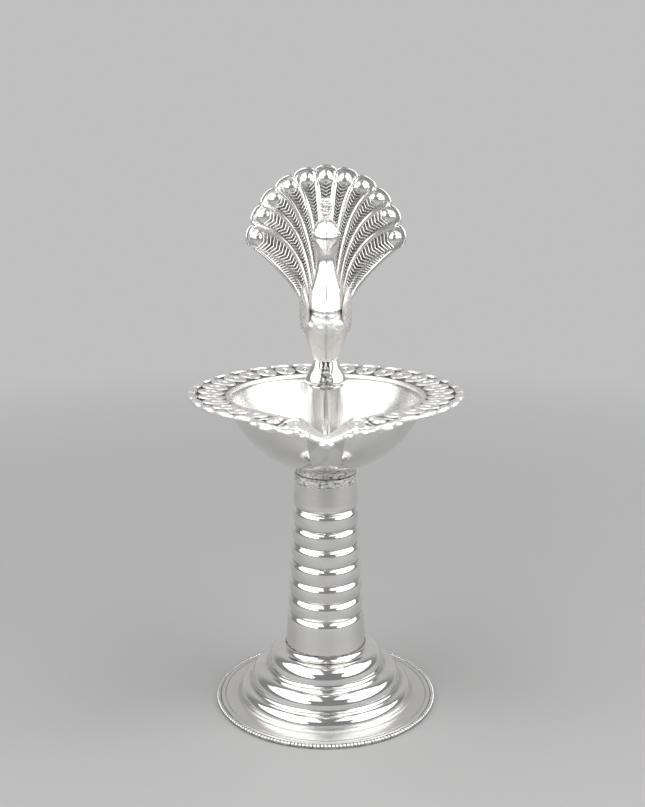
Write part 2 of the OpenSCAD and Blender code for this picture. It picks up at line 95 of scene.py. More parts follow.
class LampFinish(bpy.types.PropertyGroup):
    """Colours and gloss of the silver."""

    silver: colour("Silver", "Colour of the polished metal", (0.87, 0.86, 0.84))
    cloud: colour("Cloud", "Colour of the faint film on plain faces", (0.77, 0.76, 0.74))
    dull: colour("Dull", "Colour of worn and unpolished faces", (0.74, 0.73, 0.71))
    # This dark colour is the patina in hollows, and also the painted shade that some pieces mark.
    patina_and_shade_colour: colour("Patina and shade", "Colour of the film left in recesses", (0.09, 0.085, 0.08))
    solder: colour("Solder", "Colour of the rough solder", (0.50, 0.49, 0.46))
    polish: share("Polish", "Roughness of the plain polished faces", 0.07)
    stamped: share("Stamped finish", "Roughness of the stamped faces", 0.17)
    cast: share("Cast finish", "Roughness of the cast border", 0.4)
    rough: share("Solder finish", "Roughness of the solder and the cut metal", 0.36)


class LampStand(bpy.types.PropertyGroup):
    """Sizes of the foot, the stem and the neck."""

    foot_r: length("Foot radius", "Radius of the foot with its milled edge", 26.5)
    edge_w: length("Edge width", "Width of the milled edge wire", 1.1)
    edge_h: length("Edge height", "Height of the milled edge wire", 1.0)
    edge_beads: count("Edge beads", "Number of cuts in the milled edge", 196)
    edge_lean: angle("Edge lean", "Lean of the cuts in the milled edge", 32)
    line_in: length("Engraved line", "Distance of the engraved line from the flange's edge", 1.1)
    flange_t: length("Flange", "Thickness of the flat flange", 0.9)
    wall: length("Wall", "Wall of the foot's sheet", 0.8)
    low_r: length("Low step radius", "Radius of the lowest step", 20.7)
    low_z: length("Low step height", "Height of the lowest step", 4.1)
    middle_r: length("Middle step radius", "Radius of the middle step", 17.9)
    middle_z: length("Middle step height", "Height of the middle step", 8.1)
    top_r: length("Top step radius", "Radius of the top step", 13.8)
    top_z: length("Top step height", "Height of the top step", 12.6)
    rounding: length("Step rounding", "Reach of the rounding of each step's upper edge", 2.5)
    fillet: length("Step fillet", "Hollow fillet at the foot of each step", 0.95)
    foot_z: length("Foot height", "Height where the stem stands on the foot", 14.0)
    stem_r: length("Stem radius below", "Radius of the stem at its lower end", 9.45)
    neck_r: length("Stem radius above", "Radius of the stem at its upper end", 7.25)
    stem_z: length("Stem top", "Height of the stem's upper end", 54.4)
    low_band: length("Lower band", "Height of the plain band at the lower end", 7.9)
    top_band: length("Upper band", "Height of the plain band at the upper end", 6.4)
    ribs: count("Ribs", "Number of ribs on the stem", 6)
    groove: length("Groove", "Depth of the grooves between the ribs", 0.65)
    rib_top: share("Rib crest", "Where a rib is widest, from its lower to its upper groove", 0.7)
    seam_beads: count("Seam beads", "Number of solder beads round the stem's lower end", 104)
    spigot_r: length("Spigot radius", "Radius of the spigot set into the foot", 8.6)
    spigot_h: length("Spigot length", "Length of the spigot set into the foot", 1.8)
    bore_r: length("Bore radius", "Radius of the bore at the stem's top", 5.8)
    bush_h: length("Bush length", "Length of the bush inside the stem", 6.0)
    bush_z: length("Bush top", "Height of the bush's flange", 56.3)
    stud_r: length("Stud radius", "Radius of the threaded stud", 4.0)
    collar_r: length("Collar radius", "Radius of the bowl's collar", 7.0)


class LampBowl(bpy.types.PropertyGroup):
    """Sizes of the bowl, its border and its spout."""

    bowl_z: length("Bowl bottom", "Height of the bowl's lowest point", 56.9)
    ball_r: length("Ball radius", "Radius of the ball that the bowl is a part of", 23.9)
    depth: length("Depth", "Depth of the bowl up to its edge", 16.3)
    wall: length("Wall", "Wall of the bowl", 0.8)
    lip_w: length("Lip", "Width of the edge turned out under the border", 1.6)
    border_w: length("Border width", "Width of the border", 8.85)
    border_t: length("Border thickness", "Thickness of the border", 1.0)
    border_rise: length("Border rise", "Rise from the border's inner to its outer edge", 0.8)
    field_depth: length("Field depth", "Depth of the sunk field under the border's top", 0.5)
    seat: length("Seat", "Gap of the soldered seat under the border", 0.05)
    scallops: count("Scallops", "Number of scallops around the border", 32)
    notch: length("Notch", "Depth of the notches between the scallops", 0.7)
    loop_l: length("Loop length", "Length of a loop along the radius", 6.4)
    loop_w: length("Loop width", "Width of a loop around the border", 5.0)
    loop_wire: length("Loop wire", "Width of a loop's fat ring", 1.85)
    loop_out: length("Loop distance", "Distance of the loops' middles from the bowl's edge", 3.6)
    pearl_r: length("Pearl", "Radius of the pearl in each loop", 0.34)
    pillow_l: length("Pillow length", "Length of the pillow on each scallop", 5.5)
    pillow_w: length("Pillow width", "Width of the pillow on each scallop", 2.1)
    pillow_h: length("Pillow height", "Height of the pillow on each scallop", 1.6)
    spout_reach: length("Spout reach", "Reach of the bowl's edge into the spout", 12.3)
    spout_angle: angle("Spout angle", "Half of the angle that the spout takes", 11)
    spout_drop: length("Spout drop", "Drop of the edge at the spout's tip", 1.3)
    shoulder_reach: length("Shoulder reach", "Reach of the border beside the spout", 4.2)
    tip_reach: length("Tip reach", "Reach of the tip beyond those shoulders", 3.0)
    wrinkle: length("Wrinkle", "Depth of the folds left where the spout was pulled", 0.16)


class LampBird(bpy.types.PropertyGroup):
    """Sizes of the post, the bird, its wings and its crest."""

    post_r: length("Post radius", "Radius of the post", 4.1)
    post_dent: length("Post dents", "Depth of the shallow flats left on the post", 0.035)
    post_wall: length("Post wall", "Wall of the post", 0.7)
    post_z: length("Post top", "Height of the post's top", 77.2)
    cap_t: length("Cap", "Thickness of the cap on the post", 0.8)
    crumbs: count("Solder crumbs", "Number of crumbs of solder between the legs", 64)
    leg_h: length("Leg height", "Height of the legs", 5.5)
    feet_apart: length("Feet apart", "Distance between the middles of the feet", 5.4)
    foot_w: length("Foot width", "Width of a foot", 3.9)
    leg_splay: share("Leg splay", "How far the front of a leg leans to the middle", 0.42)
    waist_w: length("Waist", "Width of the body where it meets the legs", 5.4)
    body_w: length("Body width", "Width of the body", 10.0)
    body_h: length("Body height", "Height of the body up to the neck", 16.7)
    breast: length("Breast", "Reach of the breast to the front", 5.0)
    rump: length("Rump", "Reach of the rump to the back", 5.4)
    neck_w: length("Neck width", "Width of the neck", 4.1)
    neck_h: length("Neck height", "Height of the neck", 8.0)
    head_w: length("Head width", "Width of the head", 6.3)
    head_h: length("Head height", "Height of the head", 7.2)
    beak_l: length("Beak", "Length of the beak", 3.0)
    beak_w: length("Beak width", "Half of the beak's width at its root", 2.7)
    beak_up: length("Beak above", "Height of the beak's upper half at its root", 2.2)
    beak_down: length("Beak below", "Height of the beak's lower half at its root", 1.7)
    eye_r: length("Eye", "Radius of an eye", 0.42)
    bib: length("Bib", "How far the breast stands out above the belly", 0.24)
    keel: share("Keel", "How much the breast, the neck and the head are drawn to a keel in front", 0.9)
    wing_h: length("Wing height", "Height of a wing", 11.0)
    wing_l: length("Wing length", "Length of a wing from front to back", 8.4)
    wing_out: length("Wing thickness", "How far a wing stands out from the body", 1.0)
    crest_h: length("Crest height", "Height of the crest above the head", 4.4)


class LampFan(bpy.types.PropertyGroup):
    """Sizes of the tail fan."""

    feathers: count("Feathers", "Number of feathers", 11)
    radius: length("Tip radius", "Radius of the circle through the tips", 18.55)
    middle_z: length("Fan middle", "Height of that circle's middle", 107.5)
    spread: angle("Spread", "Angle that the feathers take at their tips", 179)
    strip: share("Side strip", "Share of the fan's width that each side strip takes", 0.1)
    edge_turn: angle("Edge turn", "Angle of the side strip beyond the last feather", 1.5)
    edge_step: length("Edge step", "How far the side strip's corner stands back", 0.7)
    root_w: length("Root width", "Width of the fan at the body", 11.8)
    root_z: length("Root height", "Height where the edges reach the body", 95.6)
    tongue: length("Tongue", "Length of the tongue behind the rump", 2.8)
    back: length("Distance back", "Distance of the fan behind the post's middle", 5.0)
    lean: length("Lean", "How far the tips lean back", 2.4)
    sheet_t: length("Front sheet", "Thickness of the stamped sheet", 0.7)
    backing_t: length("Back sheet", "Thickness of the plain back sheet", 0.6)
    seat: length("Seat", "Gap between the two sheets", 0.05)
    tip_notch: length("Tip notch", "Depth of the scallops between the tips", 1.1)
    ridge_h: length("Ridge", "Height of the ridges between the feathers", 0.5)
    ridge_w: length("Ridge flank", "Width of each flank of the ridges", 0.46)
    pad_h: length("Pad", "Height of the dome at each tip", 0.65)
    pad_r: length("Pad radius", "Radius of the dome at each tip", 1.4)
    pad_in: length("Pad inset", "Distance of the dome from the tip's edge", 1.25)
    rim_w: length("Rim", "Width of the raised rim along the tips", 0.6)
    barb_pitch: length("Barb pitch", "Distance from barb to barb", 0.82)
    barb_t: length("Barb thickness", "Thickness of a barb", 0.46)
    barb_rise: length("Barb rise", "How far a barb's arms rise to the tip", 0.75)
    stroke_pitch: length("Stroke pitch", "Distance from stroke to stroke on the side strips", 0.66)
    stroke_turn: angle("Stroke turn", "Slant of the strokes on the side strips", 62)


GROUPS = {
    "lamp_finish": LampFinish,
    "lamp_stand": LampStand,
    "lamp_bowl": LampBowl,
    "lamp_bird": LampBird,
    "lamp_fan": LampFan,
}


def sizes(name):
    """A group's values as plain numbers: lengths in millimetres, angles in degrees."""
    group = getattr(bpy.context.scene, name)
    found = {}
    for key in group.__annotations__:
        kind = group.bl_rna.properties[key]
        value = getattr(group, key)
        if getattr(kind, "unit", "") == "LENGTH":
            value = value / MM
        elif kind.subtype == "ANGLE":
            value = math.degrees(value)
        found[key] = value
    return SimpleNamespace(**found)


# Curves and meshes, all in millimetres

def ease(t):
    """A soft step from 0 to 1."""
    t = np.clip(t, 0, 1)
    return t * t * (3 - 2 * t)


def mix(a, b, t):
    """A value between two."""
    return a + (b - a) * t


def fade(turn, reach, power):
    """1 at the spout, down to 0 at an angle from it."""
    return np.maximum(0, 1 - np.abs(turn) / reach) ** power


def around(turn, r, z):
    """Points at angles in degrees from the spout, at radii and heights."""
    a = np.radians(turn)
    return np.stack(np.broadcast_arrays(r * np.sin(a), -r * np.cos(a), z), -1)


def arc(r, z, radius, start, end, steps=12):
    """Points of an arc in an outline of radii and heights."""
    a = np.radians(np.linspace(start, end, steps))
    return np.stack([r + radius * np.cos(a), z + radius * np.sin(a)], -1)


def grid_faces(rows, columns, round_rows=False, round_columns=False):
    """Four-sided faces between the points of a grid, listed row by row."""
    i, j = np.meshgrid(
        np.arange(rows if round_rows else rows - 1),
        np.arange(columns if round_columns else columns - 1),
        indexing="ij",
    )
    k = (i + 1) % rows
    m = (j + 1) % columns
    return np.stack([i * columns + j, k * columns + j, k * columns + m, i * columns + m], -1).reshape(-1, 4)


class Shape:
    """Points, faces, and marks of tarnish, painted shade and wear of one piece, gathered from several forms.
    """

    def __init__(self):
        self.points = []
        self.faces = []
        self.marks = []
        self.worn = []
        self.total = 0

    def add(self, points, faces, marks=0.0, worn=0.0):
        """A form of points in a list or a grid, with marks that spread over them."""
        points = np.asarray(points, float)
        size = points.shape[:-1]
        self.points.append(points.reshape(-1, 3))
        self.marks.append(np.broadcast_to(marks, size).reshape(-1))
        self.worn.append(np.broadcast_to(worn, size).reshape(-1))
        self.faces += [[int(i) + self.total for i in face] for face in faces]
        self.total += math.prod(size)
        return self

    def lathe(self, outline, marks=0.0, worn=0.0, steps=256):
        """A closed outline of radii and heights, turned about the upright axis."""
        r, z = np.asarray(outline, float).T
        turn = np.arange(steps)[:, None] * 360 / steps
        return self.add(around(turn, r, z), grid_faces(steps, len(r), True, True), marks, worn)

    def loft(self, rings, marks=0.0, worn=0.0):
        """A solid through closed rings of like points."""
        rings = np.asarray(rings, float)
        rows, columns = rings.shape[:2]
        points = np.concatenate([rings.reshape(-1, 3), [rings[0].mean(0), rings[-1].mean(0)]])
        faces = grid_faces(rows, columns, False, True).tolist()
        low = rows * columns
        last = low - columns
        for j in range(columns):
            k = (j + 1) % columns
            faces.append([low, k, j])
            faces.append([low + 1, last + j, last + k])
        both = (np.broadcast_to(m, (rows, columns)) for m in (marks, worn))
        marks, worn = (np.concatenate([m.reshape(-1), [m[0].mean(), m[-1].mean()]]) for m in both)
        return self.add(points, faces, marks, worn)

    def tube(self, path, radii):
        """A round bar along a path, with rounded ends."""
        along = np.gradient(path, axis=0)
        along /= np.linalg.norm(along, axis=1)[:, None]
        side = np.cross(along, (0, 0, 1.0))
        side /= np.linalg.norm(side, axis=1)[:, None] + TINY
        lift = np.cross(side, along)
        a = np.radians(np.arange(12) * 30)[:, None]
        ends = np.radians((75, 50, 25))
        spots = [(0, -t) for t in ends] + [(k, 0) for k in range(len(path))] + [(-1, t) for t in ends[::-1]]
        rings = []
        for k, t in spots:
            middle = path[k] + along[k] * radii[k] * math.sin(t)
            rings.append(middle + radii[k] * math.cos(t) * (np.cos(a) * side[k] + np.sin(a) * lift[k]))
        return self.loft(rings)

    def blob(self, middle, axes, rows=12, columns=20):
        """A rounded bead with three half axes given as vectors."""
        across, along, up = np.asarray(axes, float)
        t = np.radians(np.linspace(-84, 84, rows))[:, None, None]
        a = np.radians(np.arange(columns) * 360 / columns)[:, None]
        ring = np.cos(a) * across + np.sin(a) * along
        return self.loft(middle + np.cos(t) * ring + np.sin(t) * up)

    def build(self, name, material, crease=38):
        """The mesh object, with doubles merged and faces turned outwards."""
        mesh = bpy.data.meshes.new(name)
        mesh.from_pydata((np.concatenate(self.points) * MM).tolist(), [], self.faces)
        for key, values in (("recess", self.marks), ("worn", self.worn)):
            mark = mesh.attributes.new(key, "FLOAT", "POINT")
            mark.data.foreach_set("value", np.concatenate(values).astype(np.float32))
        work = bmesh.new()
        work.from_mesh(mesh)
        bmesh.ops.remove_doubles(work, verts=work.verts, dist=0.0008 * MM)
        bmesh.ops.dissolve_degenerate(work, edges=work.edges, dist=0.0004 * MM)
        bmesh.ops.recalc_face_normals(work, faces=work.faces)
        work.to_mesh(mesh)
        work.free()
        mesh.shade_smooth()
        mesh.set_sharp_from_angle(angle=math.radians(crease))
        mesh.materials.append(material)
        return linked(name, mesh)


def linked(name, data):
    """A new object in the scene."""
    piece = bpy.data.objects.new(name, data)
    bpy.context.scene.collection.objects.link(piece)
    return piece


def settle(piece, body, slot, *nodes):
    """Sets a finished piece on its body and hides the nodes that it stands for. Its slot is not used."""
    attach(piece, body)
    if nodes:
        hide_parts(*nodes)


def grain(points, scale, seed):
    """Smooth noise from -1 to 1 at each point, the same in every run."""
    shift = Vector((seed * 7.3, seed * 3.1, seed * 5.7))
    flat = np.asarray(points, float).reshape(-1, 3)
    return np.array([noise.noise(Vector(p) * scale + shift) for p in flat]).reshape(np.shape(points)[:-1])


# Node trees

class Nodes:
    """A node tree under construction."""

    def __init__(self, tree):
        self.tree = tree

    def add(self, kind, inputs=None, **settings):
        """A node with its settings, and its inputs set or joined by name or number."""
        node = self.tree.nodes.new(kind)
        for key, value in settings.items():
            setattr(node, key, value)
        for key, value in (inputs or {}).items():
            if isinstance(value, bpy.types.NodeSocket):
                self.tree.links.new(value, node.inputs[key])
            else:
                node.inputs[key].default_value = value
        return node

    def out(self, kind, inputs=None, **settings):
        """The first output of a new node."""
        return self.add(kind, inputs, **settings).outputs[0]

    def sum(self, operation, a, b=0.0):
        """One step of arithmetic."""
        return self.out("ShaderNodeMath", {0: a, 1: b}, operation=operation)

    def plus(self, a, b):
        return self.sum("ADD", a, b)

    def times(self, a, b):
        return self.sum("MULTIPLY", a, b)

    def xyz(self, **parts):
        """A vector from its parts X, Y and Z."""
        return self.out("ShaderNodeCombineXYZ", parts)

    def range(self, value, low, high, start, end):
        """A value from start to end, moved to the range from low to high."""
        return self.out("ShaderNodeMapRange", {0: value, 1: start, 2: end, 3: low, 4: high})

    def blend(self, amount, a, b):
        """A colour between two."""
        return self.add("ShaderNodeMix", {0: amount, 6: a, 7: b}, data_type="RGBA").outputs[2]

    def noise(self, place, scale, detail=2.0, roughness=0.5):
        """Smooth noise from 0 to 1."""
        inputs = {"Vector": place, "Scale": scale, "Detail": detail, "Roughness": roughness}
        return self.out("ShaderNodeTexNoise", inputs)

    def join(self, *parts):
        """Several geometries as one."""
        node = self.add("GeometryNodeJoinGeometry")
        for part in parts:
            self.tree.links.new(part, node.inputs[0])
        return node.outputs[0]


def bare_material(name):
    """A new material and its empty node tree."""
    material = bpy.data.materials.new(name)
    material.use_nodes = True
    material.node_tree.nodes.clear()
    return material, Nodes(material.node_tree)


def silver(name, clean, film, dull, patina_and_shade_colour, rough, spread, ripple, grit, stain):
    """Silver with a faint film, ripples and grit in the surface, and a dark film where its pieces mark it:
    tarnish in recesses, and painted shade in some places.
    """
    if name in bpy.data.materials:
        return bpy.data.materials[name]
    material, n = bare_material(name)
    place = n.add("ShaderNodeTexCoord").outputs["Object"]
    recess, worn = (
        n.add("ShaderNodeAttribute", attribute_name=mark).outputs["Fac"] for mark in ("recess", "worn")
    )
    cloud = n.noise(place, 120, 4, 0.6)
    waves = n.noise(place, 260)
    mottle = n.noise(place, 900, 3, 0.6)
    pits = n.noise(place, 2300, 3, 0.65)
    fine = n.noise(place, 3600)
    streaks = n.out("ShaderNodeMapping", {"Vector": place, "Scale": (900, 900, 9000)})
    scratch = n.noise(streaks, 1, 2, 0.7)

    # The dark film follows the marks: patina in recesses, and painted shade where a piece paints it.
    film_and_shade_left = n.sum("MINIMUM", n.times(recess, n.range(mottle, 0.55, 1.25, 0.3, 0.7)), 1.0)
    spots = n.times(n.range(mottle, 0, 1, 0.62, 0.8), stain)
    dark = n.sum("MAXIMUM", film_and_shade_left, spots)
    base = n.blend(n.range(cloud, 0, 1, 0.35, 0.7), (*clean, 1), (*film, 1))
    base = n.blend(n.times(worn, 0.5), base, (*dull, 1))
    base = n.blend(dark, base, (*patina_and_shade_colour, 1))

    gloss = n.range(cloud, rough, rough + spread, 0.3, 0.75)
    gloss = n.plus(gloss, n.range(scratch, 0, spread * 0.6, 0.45, 0.8))
    gloss = n.plus(gloss, n.times(dark, 0.3))
    gloss = n.plus(gloss, n.times(worn, 0.2))

    height = n.times(waves, ripple)
    layers = ((mottle, grit), (fine, grit * 0.35), (scratch, grit * 0.25), (n.times(worn, pits), 0.55))
    for layer, weight in layers:
        height = n.plus(height, n.times(layer, weight))
    bump = n.out("ShaderNodeBump", {"Strength": 1.0, "Distance": 0.1 * MM, "Height": height})
    shader = n.out("ShaderNodeBsdfPrincipled", {
        "Base Color": base, "Metallic": 1.0, "Roughness": gloss, "Normal": bump,
    })
    n.add("ShaderNodeOutputMaterial", {"Surface": shader})
    return material


def finishes():
    """The lamp's finishes by a maker's plain words: roughness and its spread, ripples, grit and stains."""
    f = sizes("lamp_finish")
    clean, solder = tuple(f.silver), tuple(f.solder)
    films = (tuple(f.cloud), tuple(f.dull), tuple(f.patina_and_shade_colour))
    return SimpleNamespace(
        polished=silver("polished silver", clean, *films, f.polish, 0.05, 0.09, 0.02, 0.0),
        stamped=silver("stamped silver", clean, *films, f.stamped, 0.07, 0.06, 0.10, 0.10),
        cast=silver("cast silver", clean, *films, f.cast, 0.08, 0.08, 0.08, 0.05),
        hammered=silver("hammered silver", clean, *films, f.stamped - 0.02, 0.08, 0.16, 0.16, 0.2),
        rough=silver("rough solder", solder, *films, f.rough, 0.2, 0.5, 1.1, 0.7),
        cut=silver("cut thread metal", solder, *films, f.rough - 0.1, 0.1, 0.05, 0.3, 0.2),
    )


def grow(piece, form, inputs):
    """Runs a form's geometry nodes on a piece and keeps the result as its plain smooth mesh."""
    tree = bpy.data.node_groups.new(form.__name__, "GeometryNodeTree")
    for in_out in ("INPUT", "OUTPUT"):
        tree.interface.new_socket("Geometry", in_out=in_out, socket_type="NodeSocketGeometry")
    kinds = {int: "NodeSocketInt", float: "NodeSocketFloat"}
    sockets = {}
    for key, value in inputs.items():
        kind = kinds.get(type(value), "NodeSocketMaterial")
        sockets[key] = tree.interface.new_socket(key, in_out="INPUT", socket_type=kind).identifier
    n = Nodes(tree)
    at = n.add("NodeGroupInput").outputs
    real = n.out("GeometryNodeRealizeInstances", {"Geometry": form(n, at)})
    smooth = n.out("GeometryNodeSetShadeSmooth", {"Geometry": real})
    done = n.out("GeometryNodeSetMaterial", {"Geometry": smooth, "Material": at["Material"]})
    n.add("NodeGroupOutput", {"Geometry": done})

    modifier = piece.modifiers.new("made", "NODES")
    modifier.node_group = tree
    for key, value in inputs.items():
        modifier[sockets[key]] = value
    made = piece.evaluated_get(bpy.context.evaluated_depsgraph_get())
    mesh = bpy.data.meshes.new_from_object(made)
    old = piece.data
    piece.modifiers.clear()
    piece.data = mesh
    bpy.data.meshes.remove(old)
    mesh.name = piece.name
    for spare in ("turn", "size"):
        if spare in mesh.attributes:
            mesh.attributes.remove(mesh.attributes[spare])


def ring_of_beads(n, at):
    """The piece with a ring of leaning beads, each a little unlike the next."""
    ring = n.out("GeometryNodeMeshCircle", {"Vertices": at["Count"], "Radius": at["Radius"]})
    points = n.out("GeometryNodeSetPosition", {"Geometry": ring, "Offset": n.xyz(Z=at["Height"])})
    bead = n.out("GeometryNodeMeshUVSphere", {"Segments": 8, "Rings": 6, "Radius": 0.5})
    step = n.sum("DIVIDE", n.out("GeometryNodeInputIndex"), at["Count"])
    turn = n.xyz(X=at["Lean"], Z=n.times(step, math.tau))
    chance = n.add("FunctionNodeRandomValue", {
        2: n.sum("SUBTRACT", 1.0, at["Variation"]),
        3: n.plus(1.0, at["Variation"]),
        "Seed": at["Seed"],
    }, data_type="FLOAT").outputs[1]
    wide, high = (n.times(at[key], chance) for key in ("Bead width", "Bead height"))
    beads = n.out("GeometryNodeInstanceOnPoints", {
        "Points": points,
        "Instance": bead,
        "Rotation": n.out("FunctionNodeEulerToRotation", {0: turn}),
        "Scale": n.xyz(X=wide, Y=at["Bead length"], Z=high),
    })
    return n.join(at["Geometry"], beads)


def point_piece(name, places, turns, scales):
    """Bare points in millimetres, with the turn and size of the copy that goes on each."""
    mesh = bpy.data.meshes.new(name)
    mesh.from_pydata((np.asarray(places) * MM).tolist(), [], [])
    for key, values in (("turn", turns), ("size", scales)):
        data = mesh.attributes.new(key, "FLOAT_VECTOR", "POINT")
        data.data.foreach_set("vector", np.asarray(values, np.float32).reshape(-1))
    return linked(name, mesh)


def copies_on_points(n, at, copy):
    """Copies of a form on the piece's points, turned and sized by the points' own values."""
    turn, size = (
        n.out("GeometryNodeInputNamedAttribute", {"Name": key}, data_type="FLOAT_VECTOR")
        for key in ("turn", "size")
    )
    rotation = n.out("FunctionNodeEulerToRotation", {0: turn})
    return n.out("GeometryNodeInstanceOnPoints", {
        "Points": at["Geometry"], "Instance": copy, "Rotation": rotation, "Scale": size,
    })


def pointed_loop(n, long, wide, wire):
    """A pointed oval of round wire, long in Y and wide in X."""
    circle = n.out("GeometryNodeCurvePrimitiveCircle", {"Resolution": 36, "Radius": 1.0})
    part = n.add("ShaderNodeSeparateXYZ", {0: n.out("GeometryNodeInputPosition")}).outputs
    pinch = n.sum("POWER", n.sum("ABSOLUTE", part[1]), 0.55)
    x = n.times(n.times(part[1], pinch), n.times(wide, 0.5))
    y = n.times(part[0], n.times(long, 0.5))
    line = n.out("GeometryNodeSetPosition", {"Geometry": circle, "Position": n.xyz(X=x, Y=y)})
    section = n.out("GeometryNodeCurvePrimitiveCircle", {"Resolution": 12, "Radius": n.times(wire, 0.5)})
    return n.out("GeometryNodeCurveToMesh", {"Curve": line, "Profile Curve": section})


def border_links(n, at):
    """A fat pointed ring with a pearl in its slit, on each point, each ring darker towards its foot with
    painted shade.
    """
    wire = at["Wire"]
    long, wide = (n.sum("SUBTRACT", at[key], wire) for key in ("Loop length", "Loop width"))
    ring = pointed_loop(n, long, wide, wire)
    flat = n.out("GeometryNodeTransform", {"Geometry": ring, "Scale": (1, 1, 0.56)})
    # Painted shade: each ring's mark grows towards its foot, where it sits on the field.
    height = n.add("ShaderNodeSeparateXYZ", {0: n.out("GeometryNodeInputPosition")}).outputs[2]
    shaded_ring = n.out("GeometryNodeStoreNamedAttribute", {
        "Geometry": flat, "Name": "recess", "Value": n.range(height, 1.0, 0.0, -0.15 * MM, 0.2 * MM),
    }, data_type="FLOAT", domain="POINT")
    pearl = n.out("GeometryNodeMeshUVSphere", {"Segments": 10, "Rings": 7, "Radius": at["Pearl"]})
    return copies_on_points(n, at, n.join(shaded_ring, pearl))


def beads_on_points(n, at):
    """A rounded bead on each point."""
    bead = n.out("GeometryNodeMeshUVSphere", {
        "Segments": at["Segments"], "Rings": at["Rings"], "Radius": 0.5,
    })
    return copies_on_points(n, at, bead)


def feather_barbs(n, at):
    """A barb of two arms in a V on each point."""
    wire = n.out("GeometryNodeCurvePrimitiveCircle", {
        "Resolution": 4, "Radius": n.times(at["Thickness"], 0.5),
    })
    arms = []
    for reach in (-MM, MM):
        line = n.out("GeometryNodeCurvePrimitiveLine", {"End": n.xyz(X=reach, Z=at["Rise"])})
        arms.append(n.out("GeometryNodeCurveToMesh", {
            "Curve": line, "Profile Curve": wire, "Fill Caps": True,
        }))
    return copies_on_points(n, at, n.join(*arms))


# The foot, the stem and the neck

def step_outline(p, r, z, ledge, reach, inset):
    """One step of the foot: an oval rounding from its top down to the fillet on the ledge below."""
    a = np.radians(np.linspace(90, 0, 20))
    low = ledge + p.fillet
    high = z - low - inset
    return np.stack([r - reach + (reach - inset) * np.cos(a), low + high * np.sin(a)], -1)


def foot_outline(p):
    """The foot's closed outline, down outside and up inside, with its marks of tarnish and wear."""
    cove = p.foot_z - p.top_z
    bore_r = p.spigot_r + GAP
    rim_r = p.foot_r - p.edge_w - GAP
    line_r = rim_r - p.line_in
    steps = (
        (p.top_r, p.top_z, p.middle_z, p.rounding),
        (p.middle_r, p.middle_z, p.low_z, p.rounding),
        (p.low_r, p.low_z, p.flange_t, p.low_r - p.middle_r - p.fillet),
    )
    outside = [[[bore_r, p.foot_z], [p.stem_r, p.foot_z]]]
    outside.append(arc(p.stem_r + cove, p.top_z + cove, cove, 180, 270, 14))
    for r, z, ledge, reach in steps:
        outside.append(step_outline(p, r, z, ledge, reach, 0))
        outside.append(arc(r + p.fillet, ledge + p.fillet, p.fillet, 184, 270))
    engraved = [[-0.3, 0], [-0.14, -0.02], [0, -0.12], [0.14, -0.02], [0.3, 0]]
    outside.append([[line_r + r, p.flange_t + z] for r, z in engraved])
    outside.append([[rim_r - 0.2, p.flange_t], [rim_r, p.flange_t - 0.15], [rim_r, 0.1], [rim_r - 0.1, 0]])
    inside = [[[p.low_r - p.wall, 0]]]
    for r, z, ledge, reach in steps[::-1]:
        inside.append(step_outline(p, r, z, ledge, reach, p.wall)[::-1])
        inside.append([[r - reach - 0.05, z - p.wall]])
    inside.append([[bore_r, p.top_z - p.wall]])
    outline = np.concatenate([np.asarray(part, float) for part in outside + inside])
    r, z = outline.T
    marks = 0.9 * ease(1 - np.abs(r - line_r) / 0.15)
    corners = [(step[0] + 0.25, step[2] + 0.25, 0.9, 0.3) for step in steps]
    for corner_r, corner_z, reach, mark in [*corners, (p.stem_r, p.foot_z, 0.5, 0.8)]:
        marks = np.maximum(marks, mark * ease(1 - np.hypot(r - corner_r, z - corner_z) / reach))
    worn = ease((r - p.low_r + 0.6) / 0.8) * ease((2.6 - z) / 0.8)
    return outline, marks, worn


class LAMP_OT_foot(bpy.types.Operator):
    """Makes the stepped foot and its milled edge"""

    bl_idname = "lamp.foot"
    bl_label = "Foot"

    def execute(self, context):
        p = sizes("lamp_stand")
        look = finishes()
        shell = Shape().lathe(*foot_outline(p))
        settle(shell.build("foot_shell", look.polished), "stand", "polished", "foot_shell")

        half = p.edge_w / 2
        inner = p.foot_r - p.edge_w
        sunk = 0.12
        outline = np.concatenate([
            [[inner, 0], [p.foot_r - 0.25, 0], [p.foot_r - sunk, sunk]],
            arc(inner + half, p.edge_h - half, half - sunk, 0, 180),
        ])
        edge = Shape().lathe(outline, 0.7).build("foot_edge", look.stamped)
        grow(edge, ring_of_beads, {
            "Count": p.edge_beads,
            "Radius": (p.foot_r - half) * MM,
            "Height": (p.edge_h - 0.44) * MM,
            "Bead width": (p.edge_w - 0.02) * MM,
            "Bead length": math.tau * p.foot_r / p.edge_beads * 0.9 * MM,
            "Bead height": 0.86 * MM,
            "Lean": math.radians(p.edge_lean),
            "Variation": 0.04,
            "Seed": 3,
            "Material": look.stamped,
        })
        settle(edge, "stand", "embossed", "foot_edge")
        return {"FINISHED"}


def stem_radius(p, z):
    """Radius of the stem's cone at a height."""
    return mix(p.stem_r, p.neck_r, (z - p.foot_z) / (p.stem_z - p.foot_z))


